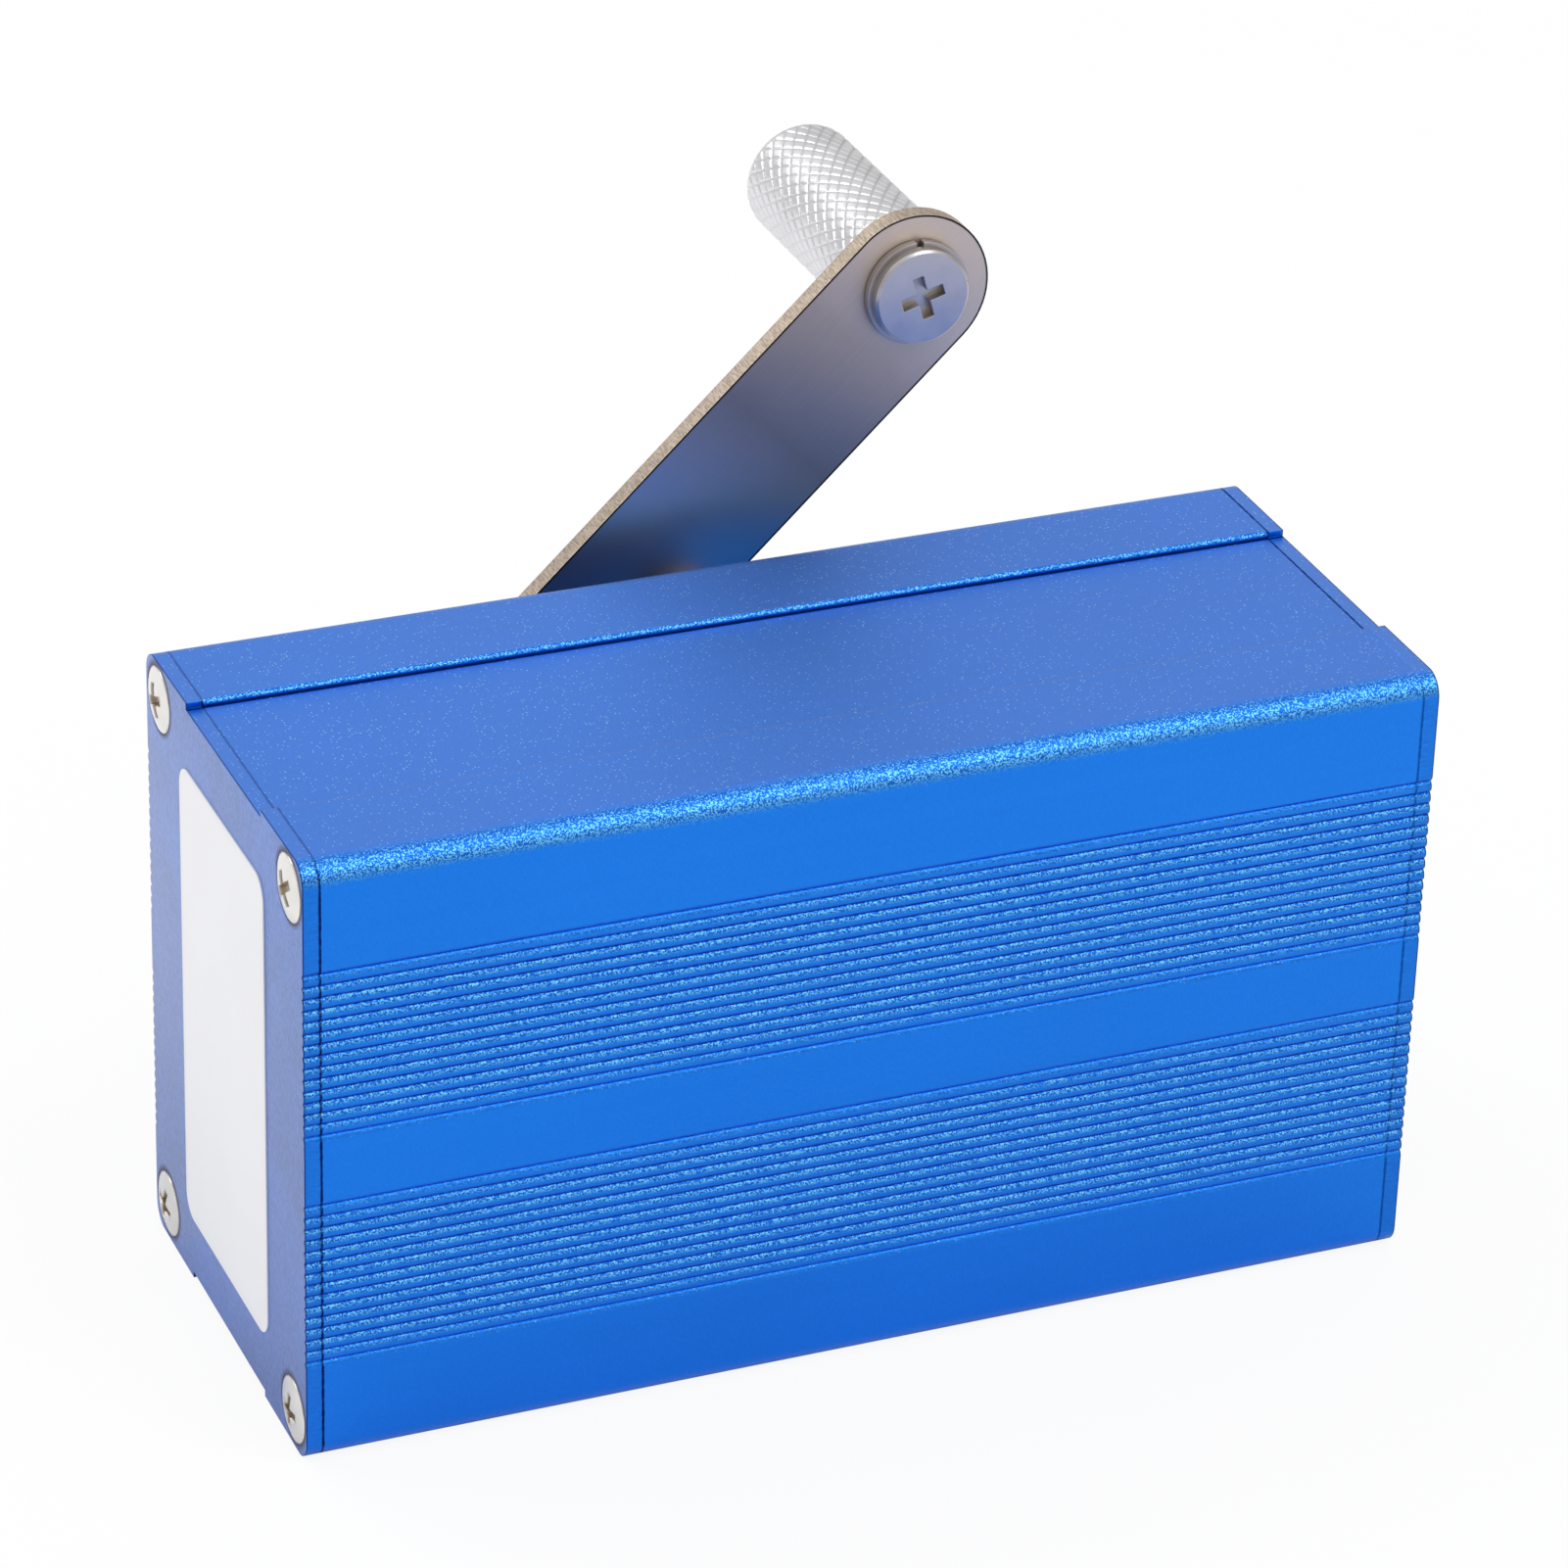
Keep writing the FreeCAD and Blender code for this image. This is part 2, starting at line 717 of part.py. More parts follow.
def end_plate(label, way):
    """Make an end plate with the outline of the closed case and its screw holes."""
    body = new_body(label)
    profile = new_sketch(body, "YZ_Plane", f"{way} * (plate_inner + plate_thickness / 2)")
    outline(profile, [
        ("-half_depth", "0"), ("-seam_reach", "0"), ("-seam_reach", "recess_depth"),
        ("step_reach", "recess_depth"), ("step_reach", "0"), ("half_depth", "0"),
        ("half_depth", "case_height"), ("seam_reach", "case_height"),
        ("seam_reach", "case_height - recess_depth"),
        ("-step_reach", "case_height - recess_depth"), ("-step_reach", "case_height"),
        ("-half_depth", "case_height"),
    ])
    sheet_metal = pad(body, profile, "plate_thickness", both_ways=True)

    def corner(edge):
        return any(runs_along(edge, "x", y=side * value("half_depth"), z=level)
                   for side in (-1, 1) for level in (0, value("case_height")))

    round_edges(body, sheet_metal, corner, "corner_radius")
    for side in (-1, 1):
        cut_ribs(body, side)
    for side in (-1, 1):
        for level in ("channel_inset_z", "case_height - channel_inset_z"):
            sink_screw_hole(body, way, f"{side} * (half_depth - channel_inset_y)", level)
    return body


def sink_screw_hole(body, way, y, z):
    """Cut a countersunk hole for an end screw by turning its outline."""
    sketch = new_sketch(body, "XY_Plane", z)
    face = f"{way} * case_length / 2"
    wide = "end_screw_head + sink_clearance"
    narrow = "end_screw_shank + sink_clearance"
    outline(sketch, [(face, y), (face, f"{y} + {wide}"),
                     (f"{face} - ({way}) * end_screw_cone", f"{y} + {narrow}"),
                     (f"{way} * (plate_inner - cut_margin)", f"{y} + {narrow}"),
                     (f"{way} * (plate_inner - cut_margin)", y)])
    feature = body.newObject("PartDesign::Groove", body.Name + "_sink")
    feature.Profile = sketch
    feature.ReferenceAxis = (sketch, ["Edge5"])
    feature.Angle = 360
    body.Tip = feature


def left_end_plate():
    """The plain end, which carries the label."""
    keep(end_plate("left_end_plate", -1))


def right_end_plate():
    """The socket end, with openings for the USB socket and the lamp."""
    body = end_plate("right_end_plate", 1)
    openings = new_sketch(body, "YZ_Plane", "plate_inner")
    rectangle(openings, "board_back - opening_clearance",
              "middle_z - usb_width / 2 - opening_clearance",
              "board_back + usb_height + opening_clearance",
              "middle_z + usb_width / 2 + opening_clearance")
    circle(openings, "led_y", "led_z", "led_radius + sink_clearance")
    body.Tip = pocket(body, openings)
    keep(body)


def left_label():
    """The thin printed label, left blank."""
    body = new_body("left_label", x="-case_length / 2")
    sketch = new_sketch(body, "YZ_Plane")
    left, right = "label_shift - label_width / 2", "label_shift + label_width / 2"
    low, high = "middle_z - label_height / 2", "middle_z + label_height / 2"
    outline(sketch, [
        (f"{left} + label_radius", low, "label_radius"),
        (f"{right} - label_radius", low),
        (right, f"{low} + label_radius", "label_radius"),
        (right, f"{high} - label_radius"),
        (f"{right} - label_radius", high, "label_radius"),
        (f"{left} + label_radius", high),
        (left, f"{high} - label_radius", "label_radius"),
        (left, f"{low} + label_radius"),
    ])
    pad(body, sketch, "label_thickness", reverse=True)
    keep(body)


# -------------------------------------------------------------------------- screws
def screw_master(label, style, head, head_height, shank, length, span, slot, sink):
    """Make a cross-recess screw with its head towards +Y and its seat at zero.

    The head is "countersunk" with a dome on top, "domed" or "flat".
    """
    rise = head_height if style == "countersunk" else f"({head_height} / 2)"
    crown = f"({head} * {head} + {rise} * {rise}) / (2 * {rise})"
    if style == "countersunk":
        top = [(head_height, "0"), ("0", head, crown), ("-end_screw_cone", shank)]
    elif style == "domed":
        top = [(head_height, "0"), (f"{head_height} - {rise}", head, crown), ("0", head),
               ("0", shank)]
    else:
        top = [(head_height, "0"), (head_height, f"{head} - head_edge"),
               (f"{head_height} - head_edge", head), ("0", head), ("0", shank)]
    steps = top + [(f"-({length}) + screw_tip", shank), (f"-({length})", f"{shank} - screw_tip"),
                   (f"-({length})", "0")]
    body = turned(label, "y", steps)
    place(body)
    recess = new_sketch(body, "XZ_Plane", f"-({head_height})")
    cross(recess, span, slot)
    pocket(body, recess, sink, reverse=True)
    return body


def about_own_axis(facing, twist, times=1):
    """Turn a screw about its own axis, a number of times, before it faces its way."""
    return facing * Rotation(Vector(0, 1, 0), value(twist) * times)


def end_plate_screws():
    """Four raised countersunk screws in each end plate."""
    master = screw_master("end_screw", "countersunk", "end_screw_head", "end_screw_dome",
                          "end_screw_shank", "end_screw_length", "recess_span",
                          "recess_slot", "recess_sink")
    for label, way, facing in (("left_plate_screws", "-", FACING_LEFT),
                               ("right_plate_screws", "", FACING_RIGHT)):
        places = []
        for side in ("-", ""):
            for level in ("channel_inset_z", "case_height - channel_inset_z"):
                places.append((f"{way}case_length / 2",
                               f"{side}(half_depth - channel_inset_y)", level,
                               about_own_axis(facing, "end_screw_twist", len(places))))
        copies(label, master, places)


def gearbox_mounting_screws():
    """Four domed screws through the crank side into the gearbox pillars."""
    master = screw_master("mounting_screw", "domed", "frame_screw_head",
                          "frame_screw_head_height", "frame_screw_shank",
                          "frame_screw_length", "recess_span", "recess_slot",
                          "recess_sink")
    places = []
    for x in ("pillar_left_x", "pillar_right_x"):
        for way in ("+", "-"):
            places.append((x, "half_depth", f"middle_z {way} pillar_pitch_z / 2",
                           about_own_axis(FACING_REAR, "mounting_screw_twist", len(places))))
    copies("gearbox_mounting_screws", master, places)


def gearbox_front_screws():
    """Four screws that hold the front frame plate to the pillars."""
    master = screw_master("frame_screw", "domed", "frame_screw_head",
                          "inner_screw_head_height", "frame_screw_shank",
                          "inner_screw_length", "recess_span", "recess_slot",
                          "recess_sink")
    places = [(x, "front_plate_face", f"middle_z {way} pillar_pitch_z / 2", FACING_FRONT)
              for x in ("pillar_left_x", "pillar_right_x") for way in ("+", "-")]
    copies("gearbox_front_screws", master, places)


# --------------------------------------------------------------------------- crank
def crank_arm():
    """The flat steel arm, with a square hole for the shaft and a round one for the grip."""
    body = new_body("crank_arm", "shaft_x", "arm_near", "middle_z")
    turn_in_face(body, "crank_angle")
    bar = new_sketch(body, "XZ_Plane")
    half = "arm_width / 2"
    outline(bar, [("0", f"-{half}", half), ("crank_radius", f"-{half}"),
                  ("crank_radius", half, half), ("0", half)])
    pad(body, bar, "arm_thickness", reverse=True)
    holes = new_sketch(body, "XZ_Plane")
    side = "(tenon_side / 2 + tenon_clearance)"
    rectangle(holes, f"-{side}", f"-{side}", side, side)
    circle(holes, "crank_radius", "0", "spigot_radius + spigot_clearance")
    pocket(body, holes)
    keep(body)


def crank_shaft():
    """The stepped steel shaft, with a square tenon for the arm and a tapped end."""
    tapped = "arm_screw_shank + thread_clearance"
    tapped_end = "arm_far - arm_screw_length"
    hub_end = "level_one_end - drive_hub_length"
    nose_end = "front_plate_face + end_play"
    body = turned("crank_shaft", "y", [
        (tapped_end, "0"), (tapped_end, tapped), ("arm_near", tapped),
        ("arm_near", "shaft_collar"), ("collar_start", "shaft_collar"),
        ("collar_start", "shaft_radius"), (hub_end, "shaft_radius"),
        (hub_end, "shaft_nose"), (nose_end, "shaft_nose"), (nose_end, "0"),
    ], "shaft_x", "0", "middle_z")
    tenon = new_sketch(body, "XZ_Plane", "-arm_near")
    tenon.AttachmentOffset = Placement(
        tenon.AttachmentOffset.Base, Rotation(Vector(0, 0, 1), value("crank_angle")))
    tenon.setExpression("AttachmentOffset.Rotation.Angle", expand("crank_angle"))
    half = "tenon_side / 2"
    rectangle(tenon, f"-{half}", f"-{half}", half, half)
    circle(tenon, "0", "0", tapped)
    pad(body, tenon, "arm_thickness - end_play", reverse=True)
    drill_for_pin(body)
    keep(body)


def drill_for_pin(body):
    """Drill a turned body across for the drive gear's pin."""
    hole = new_sketch(body, "YZ_Plane")
    circle(hole, "level_one_end - drive_hub_length / 2", "0",
           "drive_pin_radius + seat_clearance")
    body.Tip = pocket(body, hole)


def drive_gear_pin():
    """The pin across the drive gear's hub and the shaft."""
    pin = doc.addObject("Part::Cylinder", "drive_gear_pin")
    pin.Label = "drive_gear_pin"
    bind(pin, Radius="drive_pin_radius", Height="2 * drive_hub")
    place(pin, "shaft_x - drive_hub",
          "level_one_end - drive_hub_length / 2 + whole_shift", "middle_z",
          Rotation(Vector(0, 1, 0), 90))
    keep(pin)


def crank_arm_fixings():
    """The washer and the domed screw that hold the arm on its tenon."""
    washer = turned("crank_arm_washer", "y", [
        ("0", "arm_screw_shank + thread_clearance"), ("0", "arm_washer_radius"),
        ("arm_washer_thickness", "arm_washer_radius"),
        ("arm_washer_thickness", "arm_screw_shank + thread_clearance"),
    ], "shaft_x", "arm_far", "middle_z")
    keep(washer)
    screw = screw_master("crank_arm_screw", "domed", "arm_screw_head",
                         "arm_screw_head_height", "arm_screw_shank",
                         "arm_screw_length - end_play", "grip_recess_span",
                         "grip_recess_slot", "arm_recess_sink")
    place(screw, "shaft_x", "arm_far + arm_washer_thickness + whole_shift", "middle_z")
    keep(screw)


# ---------------------------------------------------------------------------- grip
def crank_grip():
    """The aluminium grip, whose spigot turns in the arm's round hole."""
    tapped = "arm_screw_shank + thread_clearance"
    tapped_end = "grip_start + grip_screw_length - arm_thickness"
    spigot_end = "arm_near - grip_play"
    grip = turned("crank_grip", "y", [
        (tapped_end, "0"), (tapped_end, tapped), (spigot_end, tapped),
        (spigot_end, "spigot_radius"), ("grip_start", "spigot_radius"),
        ("grip_start", "grip_radius"), ("grip_end - grip_round", "grip_radius"),
        ("grip_end", "grip_radius - grip_round", "-grip_round"), ("grip_end", "0"),
    ], "grip_x", "0", "grip_z")
    keep(grip)


def grip_fixings():
    """The split spring washer and the flat-headed screw on the case side of the arm."""
    seat = "arm_near - grip_play"
    bore = "arm_screw_shank + thread_clearance"
    washer = turned("grip_washer", "y", [
        (seat, bore), (seat, "grip_washer_radius"),
        (f"{seat} - grip_washer_thickness", "grip_washer_radius"),
        (f"{seat} - grip_washer_thickness", bore),
    ], "grip_x", "0", "grip_z")
    split = new_sketch(washer, "XZ_Plane")
    rectangle(split, "-grip_washer_split / 2", "0", "grip_washer_split / 2",
              "grip_washer_radius + cut_margin")
    washer.Tip = pocket(washer, split)
    keep(washer)
    screw = screw_master("grip_screw", "flat", "grip_screw_head",
                         "grip_screw_head_height", "arm_screw_shank",
                         "grip_screw_length", "grip_recess_span", "grip_recess_slot",
                         "grip_recess_sink")
    place(screw, "grip_x", f"{seat} - grip_washer_thickness + whole_shift", "grip_z",
          about_own_axis(FACING_FRONT, "grip_screw_twist"))
    keep(screw)


# --------------------------------------------------------------------- gear train
def gear(label, teeth, module, shift, turn, bore, centre, rear, front):
    """Make a spur gear blank with a bore, as a Part cut.

    The gear's outline has a tooth turned towards the angle given by turn. The gear
    runs from the rear level to the front level.
    """
    curve = fcgear.FCWireBuilder()
    involute.CreateExternalGear(
        curve, value(module), round(value(teeth)), value("pressure_angle"),
        split=False, shiftCoeff=value(shift))
    wire = Part.Wire([edge.toShape() for edge in curve.wire])
    wire.rotate(Vector(), Vector(0, 0, 1), value(turn))
    wire.rotate(Vector(), Vector(1, 0, 0), 90)
    teeth_outline = doc.addObject("Part::Feature", label + "_outline")
    teeth_outline.Shape = wire
    blank = doc.addObject("Part::Extrusion", label + "_blank")
    blank.Base = teeth_outline
    blank.DirMode = "Custom"
    blank.Dir = Vector(0, -1, 0)
    blank.Solid = True
    bind(blank, LengthFwd=f"{rear} - ({front})")
    hole = cylinder(label + "_bore", bore, f"{rear} - ({front}) + 2 * cut_margin", "0",
                    "cut_margin", "0")
    wheel = combine("Cut", label, blank, hole)
    place(wheel, centre[0], f"{rear} + whole_shift", centre[1])
    return wheel


def meshing_turn(angle, teeth):
    """Return the turn that puts a gap of a driven gear towards its driver."""
    return f"{angle} + 180 - 180 / {teeth}"


def lighten(wheel, count, ring, radius, depth):
    """Cut a ring of round holes in a wheel's web."""
    holes = []
    number = round(value(count))
    for index in range(number):
        angle = f"360 / {number} * {index}"
        holes.append(cylinder(f"{wheel.Label}_hole_{index + 1}", radius,
                              f"{depth} + 2 * cut_margin", f"{ring} * cos({angle})",
                              "cut_margin", f"{ring} * sin({angle})"))
    ring_of_holes = doc.addObject("Part::MultiFuse", wheel.Label + "_holes")
    ring_of_holes.Shapes = [wheel.Tool] + holes
    wheel.Tool = ring_of_holes


def drive_gear():
    """The large steel gear pinned to the crank shaft, with its hub."""
    centre = ("shaft_x", "middle_z")
    wheel = gear("drive_gear", "drive_teeth", "drive_module", "-profile_shift",
                 "first_angle", "shaft_radius + seat_clearance", centre, "level_one",
                 "level_one_end")
    hub = cylinder("drive_gear_hub", "drive_hub", "drive_face + drive_hub_length", "0",
                   "0", "0")
    wheel.Base = combine("Fuse", "drive_gear_body", wheel.Base, hub)
    bind(wheel.Tool, Height="drive_face + drive_hub_length + 2 * cut_margin")
    lighten(wheel, "drive_holes", "drive_hole_ring", "drive_hole_radius", "drive_face")
    cross_hole = doc.addObject("Part::Cylinder", "drive_gear_pin_hole")
    bind(cross_hole, Radius="drive_pin_radius + seat_clearance",
         Height="2 * (drive_hub + cut_margin)")
    place(cross_hole, "-drive_hub - cut_margin", "-drive_face - drive_hub_length / 2", "0",
          Rotation(Vector(0, 1, 0), 90))
    wheel.Tool.Shapes = wheel.Tool.Shapes + [cross_hole]
    keep(wheel)


def idler_set(name, centre, big, pinion, shaft_levels):
    """One idler: a pinion and a larger gear on a common shaft."""
    bore = "idler_shaft + seat_clearance"
    keep(gear(f"{name}_pinion", "pinion_teeth", pinion["module"], "profile_shift",
              meshing_turn(pinion["angle"], "pinion_teeth"), bore, centre,
              pinion["rear"], pinion["front"]))
    wheel = gear(f"{name}_gear", big["teeth"], big["module"], "-profile_shift",
                 big["angle"], bore, centre, big["rear"], big["front"])
    lighten(wheel, "idler_holes", "idler_hole_ring", "idler_hole_radius",
            f"{big['rear']} - ({big['front']})")
    keep(wheel)
    rear_end, rear_shoulder, front_shoulder, front_end = shaft_levels
    keep(turned(f"{name}_shaft", "y", [
        (rear_end, "0"), (rear_end, "idler_journal"), (rear_shoulder, "idler_journal"),
        (rear_shoulder, "idler_shaft"), (front_shoulder, "idler_shaft"),
        (front_shoulder, "idler_journal"), (front_end, "idler_journal"), (front_end, "0"),
    ], centre[0], "0", centre[1]))


def idlers():
    """Both idlers, stepping the speed up towards the rotor."""
    levels = ("frame_back - end_play",
              "frame_face - small_flange_thickness - end_play",
              "front_plate_back + small_flange_thickness + end_play",
              "front_plate_face + end_play")
    idler_set("first_idler", ("first_x", "first_z"),
              {"teeth": "first_teeth", "module": "first_module", "angle": "second_angle",
               "rear": "level_two", "front": "level_two_end"},
              {"module": "drive_module", "angle": "first_angle",
               "rear": "level_one + pinion_overlap", "front": "level_two"}, levels)
    idler_set("second_idler", ("second_x", "second_z"),
              {"teeth": "second_teeth", "module": "second_module", "angle": "rotor_angle",
               "rear": "level_three", "front": "level_three_end"},
              {"module": "first_module", "angle": "second_angle",
               "rear": "level_two + pinion_overlap", "front": "level_three"}, levels)


# ------------------------------------------------------------------ gearbox frame
def frame_plate(label, back, extra_holes):
    """Make one of the two steel plates that carry the shafts."""
    body = new_body(label)
    sketch = new_sketch(body, "XZ_Plane", f"-({back})")
    rectangle(sketch, "frame_left", "frame_bottom", "frame_right", "frame_top")
    for x in ("pillar_left_x", "pillar_right_x"):
        for way in ("+", "-"):
            circle(sketch, x, f"middle_z {way} pillar_pitch_z / 2",
                   "frame_screw_shank + thread_clearance")
    for x, z in (("first_x", "first_z"), ("second_x", "second_z")):
        circle(sketch, x, z, "idler_bush_radius + seat_clearance")
    for x, z, radius in extra_holes:
        circle(sketch, x, z, radius)
    plate = pad(body, sketch, "frame_plate")

    def corner(edge):
        return any(runs_along(edge, "y", x=value(x), z=value(z))
                   for x in ("frame_left", "frame_right")
                   for z in ("frame_bottom", "frame_top"))

    round_edges(body, plate, corner, "corner_radius")
    keep(body)


def gearbox_frame():
    """The two plates and the four tapped pillars between them."""
    frame_plate("gearbox_rear_plate", "frame_back",
                [("shaft_x", "middle_z", "crank_bush_radius + seat_clearance")])
    screw_circle = "generator_screw_circle"
    screw_angle = "generator_screw_angle"
    frame_plate("gearbox_front_plate", "front_plate_back", [
        ("shaft_x", "middle_z", "nose_bush_radius + seat_clearance"),
        ("rotor_x", "rotor_z", "rotor_hole_radius"),
        *[(f"rotor_x {way} {screw_circle} * cos({screw_angle})",
           f"rotor_z {way} {screw_circle} * sin({screw_angle})",
           "generator_screw_shank + thread_clearance") for way in ("+", "-")],
    ])
    bore = "frame_screw_shank + thread_clearance"
    pillar = turned("pillar", "y", [
        ("0", bore), ("0", "pillar_radius"),
        ("front_plate_back - frame_face", "pillar_radius"),
        ("front_plate_back - frame_face", bore),
    ])
    place(pillar)
    copies("gearbox_pillars", pillar, [
        (x, "frame_face", f"middle_z {way} pillar_pitch_z / 2", None)
        for x in ("pillar_left_x", "pillar_right_x") for way in ("+", "-")])


def bush(label, centre, outside, bore, seat, far_end, flange_way, flange_radius,
         flange_thickness):
    """Make a flanged bush with its flange's back at the seat level."""
    flange = f"{seat} {flange_way} {flange_thickness}"
    return turned(label, "y", [
        (far_end, bore), (far_end, outside), (seat, outside), (seat, flange_radius),
        (flange, flange_radius), (flange, bore),
    ], centre[0], "0", centre[1])


def bushes():
    """The bronze bushes of the crank shaft and of both idlers."""
    crank = ("shaft_x", "middle_z")
    keep(bush("crank_bush", crank, "crank_bush_radius",
              "shaft_radius + running_clearance", "half_depth",
              "level_one + 2 * end_play", "+", "crank_bush_flange",
              "crank_flange_thickness"))
    keep(bush("crank_nose_bush", crank, "nose_bush_radius",
              "shaft_nose + running_clearance", "front_plate_back", "front_plate_face",
              "+", "nose_bush_radius + small_flange_step", "small_flange_thickness"))
    for name in ("first", "second"):
        pair = [
            bush(f"{name}_idler_{side}_bush", (f"{name}_x", f"{name}_z"),
                 "idler_bush_radius", "idler_journal + running_clearance", seat, end, way,
                 "idler_bush_radius + small_flange_step", "small_flange_thickness")
            for side, seat, end, way in (("rear", "frame_face", "frame_back", "-"),
                                         ("front", "front_plate_back",
                                          "front_plate_face", "+"))]
        group = doc.addObject("Part::Compound", f"{name}_idler_bushes")
        group.Label = f"{name}_idler_bushes"
        group.Links = pair
        keep(group)


# ----------------------------------------------------------------------- generator
def generator_shell():
    """The drawn can, its end cap and the two rotor bearings."""
    seat = "bearing_radius + seat_clearance"
    bottom = "can_end + can_bottom"
    can = turned("generator_housing", "y", [
        ("cap_face", "can_inside"), ("cap_face", "can_radius"),
        ("can_end + can_round", "can_radius"),
        ("can_end", "can_radius - can_round", "can_round"),
        ("can_end", seat), ("lower_bearing", seat), ("lower_bearing", "bearing_boss"),
        (bottom, "bearing_boss"), (bottom, "can_inside"),
    ], "rotor_x", "0", "rotor_z")
    window = new_sketch(can, "YZ_Plane", "can_radius - can_wall / 2")
    reach = "(lead_radius + grommet_wall + seat_clearance)"
    rectangle(window, f"lead_y - {reach}", f"-lead_pitch - {reach}",
              f"lead_y + {reach}", f"lead_pitch + {reach}")
    opening = pocket(can, window, "can_wall + 2 * cut_margin")
    opening.SideType = "Symmetric"
    can.Tip = opening
    keep(can)
    cap = turned("generator_end_cap", "y", [
        ("front_plate_face", seat), ("front_plate_face", "can_radius"),
        ("cap_face", "can_radius"), ("cap_face", "can_inside - seat_clearance"),
        ("cap_face - can_wall", "can_inside - seat_clearance"),
        ("cap_face - can_wall", "can_inside - can_wall"),
        ("cap_face", "can_inside - can_wall"), ("cap_face", seat),
    ], "rotor_x", "0", "rotor_z")
    tapped = new_sketch(cap, "XZ_Plane", "-cap_face")
    for way in ("", "-"):
        circle(tapped, f"{way}generator_screw_circle * cos(generator_screw_angle)",
               f"{way}generator_screw_circle * sin(generator_screw_angle)",
               "generator_screw_shank + thread_clearance")
    cap.Tip = pocket(cap, tapped)
    keep(cap)
    bearings = []
    for name, start in (("upper", "front_plate_face"), ("lower", "lower_bearing")):
        end = f"{start} - bearing_length"
        bore = "rotor_shaft + running_clearance"
        bearings.append(turned(f"{name}_bearing", "y", [
            (start, bore), (start, "bearing_radius"), (end, "bearing_radius"), (end, bore),
        ], "rotor_x", "0", "rotor_z"))
    group = doc.addObject("Part::Compound", "generator_bearings")
    group.Label = "generator_bearings"
    group.Links = bearings
    keep(group)


def generator_screws():
    """Two screws that hold the generator to the front frame plate."""
    master = screw_master("generator_screw", "domed", "generator_screw_head",
                          "generator_screw_head_height", "generator_screw_shank",
                          "frame_plate + end_cap_thickness - end_play",
                          "generator_recess_span", "generator_recess_slot",
                          "generator_recess_sink")
    copies("generator_screws", master, [
        (f"rotor_x {way} generator_screw_circle * cos(generator_screw_angle)",
         "front_plate_back",
         f"rotor_z {way} generator_screw_circle * sin(generator_screw_angle)", None)
        for way in ("+", "-")])


def stator():
    """The slotted stator core and one coil on each of its teeth."""
    body = new_body("stator_core", "rotor_x", "0", "rotor_z")
    ring = new_sketch(body, "XZ_Plane", "-stack_top")
    circle(ring, "0", "0", "can_inside - seat_clearance")
    circle(ring, "0", "0", "yoke_inner")
    pad(body, ring, "stack_length")
    tooth = new_sketch(body, "XZ_Plane", "-stack_top")
    shoe, stem = "shoe_width / 2", "tooth_width / 2"
    outline(tooth, [
        ("stator_bore - shoe_depth / 2", f"-{shoe}"), ("shoe_outer", f"-{shoe}"),
        ("shoe_outer", f"-{stem}"), ("yoke_inner + yoke_width / 2", f"-{stem}"),
        ("yoke_inner + yoke_width / 2", stem), ("shoe_outer", stem), ("shoe_outer", shoe),
        ("stator_bore - shoe_depth / 2", shoe),
    ])
    first_tooth = pad(body, tooth, "stack_length")
    teeth = body.newObject("PartDesign::PolarPattern", "stator_teeth")
    teeth.Originals = [first_tooth]
    teeth.Axis = (tooth, ["N_Axis"])
    teeth.Angle = 360
    bind(teeth, Occurrences="stator_slots")
    body.Tip = teeth
    bore = new_sketch(body, "XZ_Plane", "-stack_top")
    circle(bore, "0", "0", "stator_bore")
    body.Tip = pocket(body, bore)
    keep(body)

    coil = new_body("coil")
    place(coil)
    winding = new_sketch(coil, "YZ_Plane", "shoe_outer + coil_clearance")
    inner_y = "stack_length / 2 + coil_clearance"
    inner_z = "tooth_width / 2 + coil_clearance"
    rectangle(winding, f"-({inner_y} + coil_turn)", f"-({inner_z} + coil_turn)",
              f"{inner_y} + coil_turn", f"{inner_z} + coil_turn")
    rectangle(winding, f"-({inner_y})", f"-({inner_z})", inner_y, inner_z)
    wound = pad(coil, winding, "coil_height")

    def outer_corner(edge):
        return any(runs_along(edge, "x", y=side_y * value(f"{inner_y} + coil_turn"),
                              z=side_z * value(f"{inner_z} + coil_turn"))
                   for side_y in (-1, 1) for side_z in (-1, 1))

    round_edges(coil, wound, outer_corner, "coil_round")
    around(coil, "stator_coils", "stator_slots", "(stack_top + stack_end) / 2")


def around(master, label, count, level):
    """Copy a master about the rotor's axis at a level."""
    number = round(value(count))
    copies(label, master, [
        ("rotor_x", level, "rotor_z", Rotation(Vector(0, -1, 0), 360 * index / number))
        for index in range(number)])


